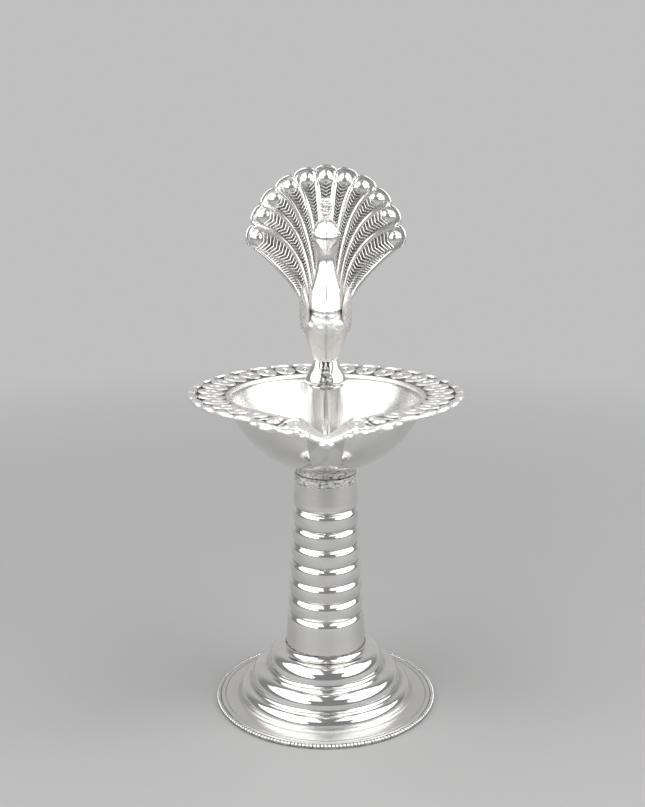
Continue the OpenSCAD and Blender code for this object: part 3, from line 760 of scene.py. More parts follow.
class LAMP_OT_stem(bpy.types.Operator):
    """Makes the tapered stem with its ribs and plain bands"""

    bl_idname = "lamp.stem"
    bl_label = "Stem"

    def execute(self, context):
        p = sizes("lamp_stand")
        look = finishes()
        low = p.foot_z + p.low_band
        high = p.stem_z - p.top_band
        rib = (high - low) / p.ribs
        reach = 0.3 * rib
        soft = 0.12
        z = np.concatenate([
            np.linspace(p.foot_z + soft, low - reach, 12, endpoint=False),
            np.linspace(low - reach, high + reach, 26 * (p.ribs + 1), endpoint=False),
            np.linspace(high + reach, p.stem_z - 0.15, 8),
        ])
        phase = (z - low) / rib
        part = phase - np.floor(phase)
        beyond = np.maximum(-phase, phase - p.ribs)
        near = np.where(part > p.rib_top, (part - p.rib_top) / (1 - p.rib_top), 1 - part / p.rib_top)
        near = np.where(beyond > 0, np.maximum(0, 1 - beyond * rib / reach), near)
        bottom = p.foot_z - p.spigot_h
        inner_r = p.spigot_r - 0.8
        spigot = [[inner_r, bottom], [p.spigot_r, bottom], [p.spigot_r, p.foot_z]]
        spigot.append([p.stem_r - soft, p.foot_z])
        outer = np.stack([stem_radius(p, z) - p.groove * near ** 2, z], -1)
        bore = [[p.neck_r - 0.15, p.stem_z], [p.bore_r, p.stem_z], [p.bore_r, p.stem_z - p.bush_h]]
        outline = np.concatenate([spigot, outer, bore, [[inner_r, p.foot_z]]])
        marks, worn = np.zeros((2, len(outline)))
        face = slice(len(spigot), len(spigot) + len(z))
        marks[face] = 0.6 * near ** 12
        worn[face] = 0.6 * ease((beyond * rib - reach) / 0.4)
        tube = Shape().lathe(outline, marks, worn, 224)
        settle(tube.build("stem_tube", look.polished), "stand", "polished", "stem_tube")

        seam = Shape().lathe(arc(p.stem_r + 0.06, p.foot_z, 0.16, 0, 330), 0.8, steps=160)
        seam = seam.build("stem_solder", look.rough)
        grow(seam, ring_of_beads, {
            "Count": p.seam_beads,
            "Radius": (p.stem_r - 0.02) * MM,
            "Height": p.foot_z * MM,
            "Bead width": 0.34 * MM,
            "Bead length": 0.6 * MM,
            "Bead height": 0.26 * MM,
            "Lean": 0.0,
            "Variation": 0.55,
            "Seed": 11,
            "Material": look.rough,
        })
        settle(seam, "stand", "rough")
        return {"FINISHED"}


def rough_band(name, outline, from_r, depth, seed):
    """A ring with a rough cast face outside a radius."""
    shape = Shape().lathe(outline, steps=260)
    places = shape.points[0]
    r = np.hypot(places[:, 0], places[:, 1])
    face = r > from_r
    rough = grain(places * [1, 1, 1.6], 1.5, seed) + 0.7 * grain(places * [1, 1, 1.4], 3.6, seed + 1)
    push = np.where(face, depth * (rough - 0.25), 0)
    shape.points[0] = places * (1 + push / r)[:, None] ** [1, 1, 0]
    shape.marks = [np.where(face, np.clip(0.05 - 1.1 * rough, 0, 1), 0)]
    shape.worn = [np.where(face, 0.6, 0)]
    return shape.build(name, finishes().rough)


def band_side(r, low, high):
    """Points up the flat side of a ring with softened edges."""
    soft, steps = 0.14, 12
    side = np.stack([np.full(steps, r), np.linspace(low + soft, high - soft, steps)], -1)
    return np.concatenate([[[r - 0.16, low]], side, [[r - 0.16, high]]])


class LAMP_OT_neck(bpy.types.Operator):
    """Makes the two rough rings where the bowl screws into the stem"""

    bl_idname = "lamp.neck"
    bl_label = "Neck"

    def execute(self, context):
        p = sizes("lamp_stand")
        b = sizes("lamp_bowl")
        bore = p.stud_r + GAP
        plug = p.bore_r - GAP
        low = p.stem_z - p.bush_h
        bush = rough_band("stem_bush", np.concatenate([
            [[bore, low], [plug, low], [plug, p.stem_z]],
            band_side(p.neck_r, p.stem_z, p.bush_z - 0.12),
            [[bore, p.bush_z]],
        ]), p.neck_r - 0.3, 0.13, 5)
        settle(bush, "stand", "rough", "stem_bush")

        ball_z = b.bowl_z + b.ball_r
        rim_z = ball_z - math.sqrt(b.ball_r ** 2 - p.collar_r ** 2)
        seat = np.radians(np.linspace(math.degrees(math.asin(p.collar_r / b.ball_r)) - 1, 9.8, 10))
        collar = rough_band("bowl_collar", np.concatenate([
            [[bore, p.bush_z + 0.02]],
            band_side(p.collar_r, p.bush_z + 0.08, rim_z - GAP),
            np.stack([b.ball_r * np.sin(seat), ball_z - 0.02 - b.ball_r * np.cos(seat)], -1),
        ]), p.collar_r - 0.3, 0.12, 9)
        settle(collar, "lamp_head", "rough", "bowl_collar")

        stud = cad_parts["bowl_stud"]
        stud.data.materials.clear()
        stud.data.materials.append(finishes().cut)
        return {"FINISHED"}


# The bowl, its border and its spout

class Rim:
    """How the bowl's edge and its border run around it, by the angle from the spout in degrees."""

    def __init__(self):
        p = sizes("lamp_bowl")
        self.p = p
        self.pitch = 360 / p.scallops
        self.ball_z = p.bowl_z + p.ball_r
        self.edge_z = p.bowl_z + p.depth
        self.edge_r = math.sqrt(p.ball_r ** 2 - (p.ball_r - p.depth) ** 2)
        self.edge_tilt = math.degrees(math.acos((p.ball_r - p.depth) / p.ball_r))
        self.border_r = self.edge_r + p.border_w
        self.slope = math.atan2(p.border_rise, p.border_w)

    def turns(self, fine, coarse):
        """Angles once around, close together beside the spout."""
        near = 3.2 * self.pitch
        return np.concatenate([
            np.linspace(-near, near, fine, endpoint=False),
            np.linspace(near, 360 - near, coarse, endpoint=False),
        ])

    @staticmethod
    def from_spout(turn):
        """Angles from -180 to 180 in place of 0 to 360."""
        return np.where(turn > 180, turn - 360, turn)

    def edge_at(self, turn):
        """Radius of the bowl's edge."""
        return self.edge_r + self.p.spout_reach * fade(turn, self.p.spout_angle, 1.15)

    def drop_at(self, turn):
        """How far the edge drops to the spout."""
        return self.p.spout_drop * ease(1 - np.abs(turn) / (3 * self.pitch))

    def outer_at(self, turn):
        """Radius of the border's scalloped outer edge."""
        p = self.p
        shoulder = p.shoulder_reach * ease((2.7 * self.pitch - np.abs(turn)) / (1.4 * self.pitch))
        tip = p.tip_reach * fade(turn, 0.75 * self.pitch, 1.2)
        scallop = p.notch * (1 - np.sqrt(np.abs(np.cos(np.radians(turn * p.scallops / 2)))))
        return self.border_r + shoulder + tip - scallop

    def bowl_point(self, turn, tilt, r, lift=0.0):
        """A point of the bowl at an angle up its ball, pulled out to the spout."""
        pull = (tilt / self.edge_tilt) ** 3
        a = np.radians(tilt)
        reach = r * np.sin(a) + (self.edge_at(turn) - self.edge_r) * pull
        return around(turn, reach, self.ball_z - r * np.cos(a) - (self.drop_at(turn) - lift) * pull)

    def lip_point(self, turn, out, up):
        """A point outside the bowl's edge and above it."""
        z = self.edge_z - self.drop_at(turn) + up + out * self.p.border_rise / self.p.border_w
        return around(turn, self.edge_at(turn) + out, z)

    def border_point(self, turn, r, up):
        """A point on the border at a radius, at a height above its underside."""
        return self.lip_point(turn, r - self.edge_at(turn), self.p.wall + self.p.seat + up)


class LAMP_OT_bowl(bpy.types.Operator):
    """Makes the raised bowl with its pulled spout"""

    bl_idname = "lamp.bowl"
    bl_label = "Bowl"

    def execute(self, context):
        rim = Rim()
        p = rim.p
        rows = 40
        turn = rim.from_spout(rim.turns(220, 212))[:, None]
        tilt = (np.linspace(0, 1, rows) ** 0.9 * rim.edge_tilt)[None, :]
        waves = 0.6 * np.sin(np.radians(turn * 150)) + 0.4 * np.sin(np.radians(turn * 233) + 1.3)
        at_spout = fade(turn, p.spout_angle, 0.4)
        outside = rim.bowl_point(turn, tilt, p.ball_r)
        inside = rim.bowl_point(turn, tilt, p.ball_r - p.wall, p.wrinkle * waves * at_spout)[:, ::-1]
        lip = ((p.lip_w - 0.2, 0), (p.lip_w, 0.2), (p.lip_w, p.wall), (-p.wall * 0.4, p.wall))
        edge = [rim.lip_point(turn, out, up) for out, up in lip]
        section = np.concatenate([outside, *edge, inside], axis=1)
        marks, worn = np.zeros((2, *section.shape[:2]))
        folds = at_spout * (0.5 - 0.5 * waves) ** 2
        marks[:, -rows:] = 0.9 * folds * ease((tilt / rim.edge_tilt - 0.55) / 0.4)[:, ::-1]
        worn[:, -rows:] = 0.8
        bowl = Shape().add(section, grid_faces(*section.shape[:2], True, False), marks, worn)
        settle(bowl.build("bowl_dish", finishes().polished), "lamp_head", "polished", "bowl_dish")
        return {"FINISHED"}


class LAMP_OT_border(bpy.types.Operator):
    """Makes the cast border of the bowl with its chain of loops and its pillows"""

    bl_idname = "lamp.border"
    bl_label = "Border"

    def execute(self, context):
        rim = Rim()
        p = rim.p
        look = finishes()
        turn = rim.from_spout(rim.turns(260, 468))[:, None]
        inner = rim.edge_at(turn) - p.wall
        outer = rim.outer_at(turn)
        top = p.border_t
        field = top - p.field_depth
        # Radius, height above the underside and tarnish mark: underside, outer edge, field, inner lip
        parts = (
            (inner, 0.15, 0.0), (inner + 0.15, 0, 0.0),
            (outer - 0.45, 0, 0.0), (outer - 0.12, 0.12, 0.0), (outer, 0.45, 0.0),
            (outer - 0.14, 0.8, 0.0), (outer - 0.5, top - 0.05, 0.0), (outer - 1.0, top - 0.1, 0.3),
            (outer - 1.5, field, 0.9), ((inner + outer) / 2, field, 0.9), (inner + 1.2, field, 0.7),
            (inner + 0.85, top - 0.22, 0.1), (inner + 0.55, top - 0.08, 0.0),
            (inner + 0.25, top - 0.12, 0.0), (inner + 0.04, top - 0.4, 0.0),
        )
        section = np.concatenate([rim.border_point(turn, r, up) for r, up, mark in parts], axis=1)
        marks = [mark for r, up, mark in parts]
        border = Shape().add(section, grid_faces(*section.shape[:2], True, True), marks)
        settle(border.build("bowl_border", look.cast), "lamp_head", "embossed", "bowl_border")

        turn = rim.from_spout(np.arange(3, p.scallops - 2) * rim.pitch)
        turned = np.stack(np.broadcast_arrays(-rim.slope, 0, np.radians(turn)), -1)
        places = rim.border_point(turn, rim.edge_r + p.loop_out, top - 0.3)
        links = point_piece("border_loops", places, turned, np.ones_like(places))
        grow(links, border_links, {
            "Loop length": p.loop_l * MM,
            "Loop width": p.loop_w * MM,
            "Wire": p.loop_wire * MM,
            "Pearl": p.pearl_r * MM,
            "Material": look.cast,
        })
        settle(links, "lamp_head", "embossed")

        places = rim.border_point(turn, rim.outer_at(turn) - p.pillow_w / 2 + 0.02, top * 0.62)
        size = np.array([p.pillow_l, p.pillow_w, p.pillow_h]) * MM
        pillows = point_piece("border_pillows", places, turned, np.broadcast_to(size, places.shape))
        grow(pillows, beads_on_points, {"Segments": 18, "Rings": 12, "Material": look.cast})
        settle(pillows, "lamp_head", "embossed")
        return {"FINISHED"}


def smooth_path(points, steps):
    """A smooth curve through points, each a row of numbers."""
    p = np.asarray(points, float)
    p = np.concatenate([[2 * p[0] - p[1]], p, [2 * p[-1] - p[-2]]])
    t = np.linspace(0, len(points) - 1, steps)
    i = np.minimum(t.astype(int), len(points) - 2)
    f = (t - i)[:, None]
    a, b, c, d = (p[i + k] for k in range(4))
    return b + 0.5 * f * (c - a + f * (2 * a - 5 * b + 4 * c - d + f * (3 * (b - c) + d - a)))


# Bars beside the spout: steps along them, then angle, radius, height and thickness at each point
SCROLL_BARS = {
    "arch": (72, [
        (18.0, 27.4, 0.75, 0.4), (17.2, 25.6, 0.95, 0.55), (15.2, 24.4, 1.05, 0.68), (12.6, 24.5, 1.1, 0.72),
        (10.6, 26.2, 1.1, 0.72), (9.5, 28.7, 1.05, 0.72), (9.1, 31.2, 1.0, 0.7), (9.5, 33.2, 0.95, 0.66),
        (11.1, 34.1, 0.9, 0.6), (12.6, 33.1, 0.9, 0.5), (12.3, 31.5, 0.95, 0.42), (11.2, 31.3, 1.0, 0.34),
    ]),
    "outer leaf": (40, [
        (16.4, 27.6, 0.65, 0.4), (14.6, 28.9, 0.85, 0.7), (13.6, 31.0, 0.85, 0.85), (14.3, 33.4, 0.75, 0.75),
        (16.6, 34.2, 0.7, 0.5),
    ]),
    "inner leaf": (40, [(12.2, 26.4, 0.75, 0.4), (11.4, 28.4, 0.85, 0.62), (11.5, 30.0, 0.8, 0.4)]),
    "rod": (40, [
        (16.8, 34.3, 0.65, 0.5), (19.2, 34.4, 0.75, 0.72), (22.4, 33.7, 0.75, 0.76), (25.8, 32.4, 0.75, 0.7),
        (29.2, 31.3, 0.6, 0.5),
    ]),
    "near fork": (24, [(18.6, 26.2, 0.6, 0.3), (17.8, 29.5, 0.6, 0.34), (17.6, 32.8, 0.6, 0.3)]),
    "far fork": (24, [(25.6, 25.4, 0.6, 0.3), (27.2, 28.0, 0.6, 0.34), (28.6, 30.6, 0.6, 0.3)]),
}

# Beads beside the spout: angle, radius and height of the middle, then half of the width, length and height
SCROLL_BEADS = (
    (22.2, 28.9, 0.7, 1.55, 1.75, 0.95),
    (22.0, 26.0, 0.75, 0.9, 0.95, 0.75),
    (14.4, 26.6, 0.7, 1.2, 1.4, 0.6),
    (19.8, 34.4, 0.4, 2.1, 0.95, 0.8),
    (25.2, 32.7, 0.45, 1.9, 0.9, 0.75),
    (11.6, 34.9, 0.4, 1.8, 0.95, 0.8),
    (7.0, 35.4, 0.45, 1.0, 0.9, 0.75),
)


class LAMP_OT_scrolls(bpy.types.Operator):
    """Makes the petals, scrolls and beads that lead the border into the spout"""

    bl_idname = "lamp.scrolls"
    bl_label = "Scrolls"

    def execute(self, context):
        rim = Rim()
        shape = Shape()

        def bead(turn, r, up, wide, long, high):
            a = math.radians(turn)
            across = (wide * math.cos(a), wide * math.sin(a), 0)
            along = (long * math.sin(a), -long * math.cos(a), 0)
            shape.blob(rim.border_point(turn, r, up), (across, along, (0, 0, high)))

        lip = np.linspace((0.6, 0.6), (9.4, 0.5), 9)
        bars = [(40, [(t, rim.edge_at(t) + 0.62, 0.9, wide) for t, wide in lip])]
        for part, up, wide in ((0.4, 0.8, 0.9), (0.76, 0.7, 0.8)):
            vee = np.linspace(0.9, 8.2, 8)
            r = mix(rim.edge_at(vee) + 0.6, rim.outer_at(vee), part)
            bars.append((40, np.stack(np.broadcast_arrays(vee, r, up, wide), -1)))
        bars += SCROLL_BARS.values()
        for side in (-1, 1):
            for steps, points in bars:
                turn, r, up, wide = smooth_path(np.array(points) * [side, 1, 1, 1], steps).T
                shape.tube(rim.border_point(turn, r, up), wide)
            for turn, *size in SCROLL_BEADS:
                bead(side * turn, *size)
        tip = rim.outer_at(0)
        bead(0, tip - 1.15, 0.15, 1.55, 1.12, 0.85)
        bead(0, tip - 1.7, 0.85, 0.9, 0.9, 0.6)
        places = np.concatenate(shape.points)
        turn = np.degrees(np.arctan2(places[:, 0], -places[:, 1]))
        r = np.hypot(places[:, 0], places[:, 1])
        above = places[:, 2] - rim.border_point(turn, r, rim.p.border_t - rim.p.field_depth)[:, 2]
        shape.marks = [0.85 * ease((0.42 - above) / 0.45) * ease((rim.outer_at(turn) - 1.0 - r) / 0.6)]
        settle(shape.build("border_scrolls", finishes().cast), "lamp_head", "embossed")
        return {"FINISHED"}


# The post and the bird

def oval(x, y, z, half_w, front, back, turn):
    """Points of an oval at a height, with its own reach to the front and to the back."""
    a = np.radians(turn)
    reach = np.where(np.sin(a) < 0, front, back)
    return np.stack(np.broadcast_arrays(x + half_w * np.cos(a), y + reach * np.sin(a), z), -1)


# Lumps of solder between the legs: place above the post, then half of the width, depth and height
SOLDER_LUMPS = (
    (0, -2.5, 3.9, 0.5, 0.7, 1.0),
    (0, -3.0, 2.6, 0.8, 0.8, 1.1),
    (0.05, -3.4, 1.2, 1.2, 0.75, 1.1),
    (0.15, -3.7, 0.0, 1.7, 0.8, 0.65),
)


class LAMP_OT_post(bpy.types.Operator):
    """Makes the post in the bowl, its cap and the solder under the bird"""

    bl_idname = "lamp.post"
    bl_label = "Post"

    def execute(self, context):
        p = sizes("lamp_bird")
        b = sizes("lamp_bowl")
        look = finishes()
        floor_r = b.ball_r - b.wall - 0.12
        low = b.bowl_z + b.ball_r - math.sqrt(floor_r ** 2 - p.post_r ** 2)
        top = p.post_z - p.cap_t
        z = np.concatenate([[low], np.linspace(low, top, 48), [top]])
        turn = np.arange(288)[:, None] * 1.25
        dents = 0.6 * np.sin(np.radians(turn * 9 + 40)) + 0.4 * np.sin(np.radians(turn * 14 + 6 * z))
        creases = 0.6 * np.sin(np.radians(turn * 26 + 25 * z)) + 0.4 * np.sin(np.radians(turn * 37 - 30 * z))
        creases *= ease((p.post_z - 6.5 - z) / 2)
        radius = p.post_r - p.post_dent * (2 + dents + creases) * ease((top - z) / 2.5)
        radius[:, [0, -1]] = p.post_r - p.post_wall
        tube = Shape().add(around(turn, radius, z), grid_faces(*radius.shape, True, True))
        settle(tube.build("post_tube", look.polished), "lamp_head", "polished", "post_tube")

        soft = 0.2
        cap = Shape().lathe(np.concatenate([
            [[0, top + 0.01], [p.post_r, top + 0.01]],
            arc(p.post_r - soft, p.post_z - soft, soft, 0, 90, 8),
            [[0, p.post_z]],
        ]), steps=128)
        settle(cap.build("post_cap", look.polished), "lamp_head", "polished", "post_cap")

        solder = Shape()
        for x, y, z, *axes in SOLDER_LUMPS:
            solder.blob((x, y, p.post_z + z), np.diag(axes), 20, 32)
        rng = np.random.default_rng(21)
        for crumb in range(p.crumbs):
            up, across, back, size = rng.uniform((0, -1, 0.1, 0.18), (1, 1, 0.6, 0.38))
            place = (across * mix(1.8, 0.45, up), mix(-4.2, -3.1, up) + back, p.post_z + 4.2 * up)
            solder.blob(place, np.diag([size, size * 0.9, size * 0.8]), 6, 8)
        places = np.concatenate(solder.points)
        bumps = 0.22 * grain(places, 1.6, 4) + 0.1 * grain(places, 4.1, 9)
        rough = places + bumps[:, None] * [0.6, 0.6, 0.5]
        rough[:, 2] = np.maximum(rough[:, 2], p.post_z - 0.5)
        solder.points = [rough]
        solder.marks = [np.clip(0.45 + 0.9 * grain(places, 2.2, 6), 0, 1)]
        settle(solder.build("leg_solder", look.rough), "lamp_head", "rough")
        return {"FINISHED"}


class LAMP_OT_legs(bpy.types.Operator):
    """Makes the two splayed legs"""

    bl_idname = "lamp.legs"
    bl_label = "Legs"

    def execute(self, context):
        p = sizes("lamp_bird")
        look = finishes()
        t = (np.linspace(0, 1, 40) ** 1.5)[:, None]
        turn = np.arange(48) * 7.5
        round_off = np.sqrt(np.clip(1 - (1 - np.minimum(t / 0.24, 1)) ** 2, 0.2, 1))
        width = mix(p.foot_w * 1.06, p.waist_w / 2, ease((t - 0.12) * 1.14)) * round_off
        y = mix(-0.75, 0.2, t)
        z = mix(p.post_z - 0.3, p.post_z + p.leg_h, t)
        for side, name in ((-1, "left_leg"), (1, "right_leg")):
            x = side * mix(p.feet_apart / 2, p.waist_w / 4, t ** 1.7)
            rings = oval(x, y, z, width / 2, width * 0.78, width * 0.6, turn)
            ahead = np.minimum(0, rings[..., 1] - y)
            rings[..., 0] += side * p.leg_splay * ahead * ease((1 - t) / 0.5)
            # Painted shade on each leg's side that faces the other leg, and tarnish at its foot on the post.
            inner = ease((-side * np.cos(np.radians(turn)) - 0.3) / 0.4)
            marks = np.maximum(0.3 * ease((0.1 - t) / 0.08), 0.8 * inner)
            leg = Shape().loft(rings, marks, 0.6 * ease((t - 0.55) / 0.45))
            settle(leg.build(name, look.hammered), "lamp_head", "polished", name)
        return {"FINISHED"}


def bird_sections(p):
    """Sections of the bird: height, middle, half width, and reach to the front and to the back."""
    leg_z = p.post_z + p.leg_h
    neck_z = leg_z + p.body_h
    head_z = neck_z + p.neck_h
    crown_z = head_z + p.head_h
    return np.array([
        [leg_z, 0.2, p.waist_w / 2, p.waist_w / 2, p.waist_w / 2],
        [mix(leg_z, neck_z, 0.22), 0.2, p.body_w * 0.4, p.breast * 0.75, p.rump * 0.8],
        [mix(leg_z, neck_z, 0.44), 0, p.body_w * 0.5, p.breast, p.rump],
        [mix(leg_z, neck_z, 0.62), 0, p.body_w * 0.47, p.breast, p.rump * 0.95],
        [mix(leg_z, neck_z, 0.82), -0.3, p.body_w * 0.43, p.breast * 0.84, p.rump * 0.7],
        [neck_z, -0.6, p.neck_w * 0.78, p.neck_w * 0.78, p.neck_w * 0.7],
        [mix(neck_z, head_z, 0.5), -0.8, p.neck_w * 0.57, p.neck_w * 0.58, p.neck_w * 0.55],
        [mix(neck_z, head_z, 0.85), -0.9, p.neck_w * 0.52, p.neck_w * 0.52, p.neck_w * 0.52],
        [mix(head_z, crown_z, 0.16), -1.1, p.head_w * 0.43, p.head_w * 0.48, p.head_w * 0.4],
        [mix(head_z, crown_z, 0.5), -1.2, p.head_w * 0.5, p.head_w * 0.53, p.head_w * 0.48],
        [mix(head_z, crown_z, 0.82), -1.1, p.head_w * 0.38, p.head_w * 0.38, p.head_w * 0.38],
        [crown_z, -1, p.head_w * 0.12, p.head_w * 0.12, p.head_w * 0.12],
    ])


class LAMP_OT_bird(bpy.types.Operator):
    """Makes the two stamped halves of the bird with its beak"""

    bl_idname = "lamp.bird"
    bl_label = "Bird"

    def execute(self, context):
        p = sizes("lamp_bird")
        look = finishes()
        sections = bird_sections(p)
        leg_z, neck_z, chin_z, crown_z = sections[[0, 5, 8, -1], 0]
        even = np.linspace(0, 1, 60)
        turn = -90 + 180 * mix(even, ease(even), -0.35)
        a = np.radians(turn)
        z, y, half_w, front, back = smooth_path(sections, 190).T[..., None]
        half = oval(0, y, z, half_w, front, back, turn)
        across = (np.abs(np.cos(a)) + p.keel) / (1 + p.keel)
        keeled = np.sqrt(np.clip(1 - across ** 2, 0, 1) / (1 - (p.keel / (1 + p.keel)) ** 2))
        half[..., 1] = np.where(np.sin(a) < 0, y - front * keeled, half[..., 1])

        facing = ease((0.35 - np.sin(a)) / 0.5)
        bib_z = mix(leg_z, neck_z, 0.7) - 0.5 * np.cos(2 * a + math.pi)
        proud = p.bib * facing * ease((z - bib_z) / 0.35) * ease((neck_z + 3 - z) / 5)
        belly = ease((bib_z - z) / 0.6) * ease((z - leg_z) / 1.2)
        seam = np.exp(-((half[..., 0] / 0.16) ** 2)) * (half[..., 1] < y)
        seam_mark = (0.12 + 0.15 * belly + 0.4 * ease((z - chin_z) / 0.5)) * seam
        # Painted shade: a patchy dark band just under the breast's proud edge.
        shade_under_bib = np.exp(-(((z - bib_z + 0.45) / 0.5) ** 2)) * facing
        out = half - np.stack(np.broadcast_arrays(0, y, z), -1)
        out /= np.linalg.norm(out, axis=2)[..., None] + TINY
        beak_z = crown_z - p.head_h * 0.64
        for side, name in ((-1, "bird_left"), (1, "bird_right")):
            flip = np.array([side, 1, 1])
            dents = grain(half * flip, 0.9, 2) * 0.1 + grain(half * flip, 2.6, 5) * 0.05
            push = proud + belly * dents - 0.02 * seam
            rings = (half + out * push[..., None]) * flip
            rings[:, [0, -1], 0] = 0
            patches = 0.5 + 0.9 * grain(half * flip, 1.1, 7)
            bib_shade = 0.7 * shade_under_bib * np.clip(patches + 0.1, 0, 1)
            marks = np.clip(bib_shade + belly * 0.08 * patches + seam_mark, 0, 1)
            bird = Shape().loft(rings, marks, 0.9 * belly)
            bird.loft(*self.beak(p, side, beak_z), 0.5)
            eye = (side * p.head_w * 0.44, -2.55, beak_z + 1.5)
            bird.blob(eye, ((0.28 * side, 0.12, 0), (0, p.eye_r, 0), (0, 0, p.eye_r)), 8, 14)
            settle(bird.build(name, look.hammered), "lamp_head", "polished", name)
        return {"FINISHED"}

    @staticmethod
    def beak(p, side, root_z):
        """Half of the hooked beak, with painted shade below its top, darker on the right half, and a dark
        mouth line.
        """
        t = np.linspace(0, 1, 18)[:, None]
        turn = np.linspace(90, -90, 15)
        a = np.radians(turn)
        wide = np.maximum(p.beak_w * (1 - t) ** 0.9, 0.16)
        above = np.maximum(p.beak_up * (1 - t) ** 0.9, 0.14)
        below = np.maximum(p.beak_down * (1 - t) ** 1.1, 0.14)
        x = side * wide * np.abs(np.cos(a)) ** 1.25
        root_y = -2.7
        y = mix(root_y, root_y - 0.8 - p.beak_l, t)
        z = mix(root_z, root_z - p.beak_l + 0.16, t ** 1.25) + np.where(turn > 0, above, below) * np.sin(a)
        # Painted shade over the beak below its top, stronger on the right half than the left.
        shade = (0.62 + 0.1 * side) * ease((80 - turn) / 12)
        mouth = 0.8 * np.exp(-(((turn + 20) / 7) ** 2)) * ease((t - 0.25) / 0.3)
        return np.stack(np.broadcast_arrays(x, y, z), -1), np.maximum(shade, mouth)


class LAMP_OT_wings(bpy.types.Operator):
    """Makes the wings with their rows of feathers"""

    bl_idname = "lamp.wings"
    bl_label = "Wings"

    def execute(self, context):
        p = sizes("lamp_bird")
        look = finishes()
        leg_z = p.post_z + p.leg_h
        h = np.sin(np.radians(np.linspace(-86, 86, 90)))[:, None]
        round_h = np.sqrt(1 - h * h)
        turn = np.arange(72) * 5
        a = np.radians(turn)
        y = 0.5 - h * p.wing_l / 6
        z = mix(leg_z, leg_z + p.body_h, 0.675) + h * p.wing_h / 2
        reach = round_h * p.wing_l / 2
        behind = 0.5 + 0.5 * np.sin(a)
        teeth = 0.3 * np.abs(np.sin(h * 11)) * behind ** 3 * round_h
        wing = oval(0, y, z, round_h * p.wing_out, reach, reach - teeth, turn)
        rows = (h * 3.1 + 0.35 * np.cos((wing[..., 1] - 0.5) * 3.4)) % 1
        rows = np.where(np.abs(h) < 0.93, rows, 0.5)
        outside = np.clip(np.cos(a), 0, 1)
        curl = 0.065 * (wing[..., 1] - y) ** 2
        wing[..., 0] += 0.26 * (rows - 0.75) * outside * round_h + p.body_w / 2 - 0.02 - curl
        marks = 0.75 * ease((0.2 - rows) / 0.15) * ease(outside * 2)
        for side, name in ((-1, "left_wing"), (1, "right_wing")):
            shape = Shape().loft(wing * [side, 1, 1], marks)
            settle(shape.build(name, look.cast), "lamp_head", "embossed", name)
        return {"FINISHED"}


class LAMP_OT_crest(bpy.types.Operator):
    """Makes the knobbly crest on the head"""

    bl_idname = "lamp.crest"
    bl_label = "Crest"

    def execute(self, context):
        p = sizes("lamp_bird")
        low = bird_sections(p)[-1, 0] - 0.8
        rng = np.random.default_rng(17)
        beads = []
        for t in np.linspace(0, 1, 9):
            z = low + t * (p.crest_h + 0.35)
            half = mix(0.4, 0.95, ease(t * 1.5)) * (1 if t < 0.9 else 0.7)
            for x in np.linspace(-half, half, 2 + int(round(half * 2.6))):
                for y in (-0.75, -0.4, -0.05):
                    size = rng.uniform(0.62, 0.98) * MM
                    place = rng.uniform((x - 0.1, y - 0.08, z - 0.14), (x + 0.1, y + 0.08, z + 0.14))
                    beads.append((place, rng.uniform(-0.6, 0.6, 3), (0.85 * size, 0.8 * size, size)))
        crest = point_piece("crest", *zip(*beads))
        grow(crest, beads_on_points, {"Segments": 9, "Rings": 7, "Material": finishes().cast})
        settle(crest, "lamp_head", "embossed", "crest")
        return {"FINISHED"}


# The tail fan

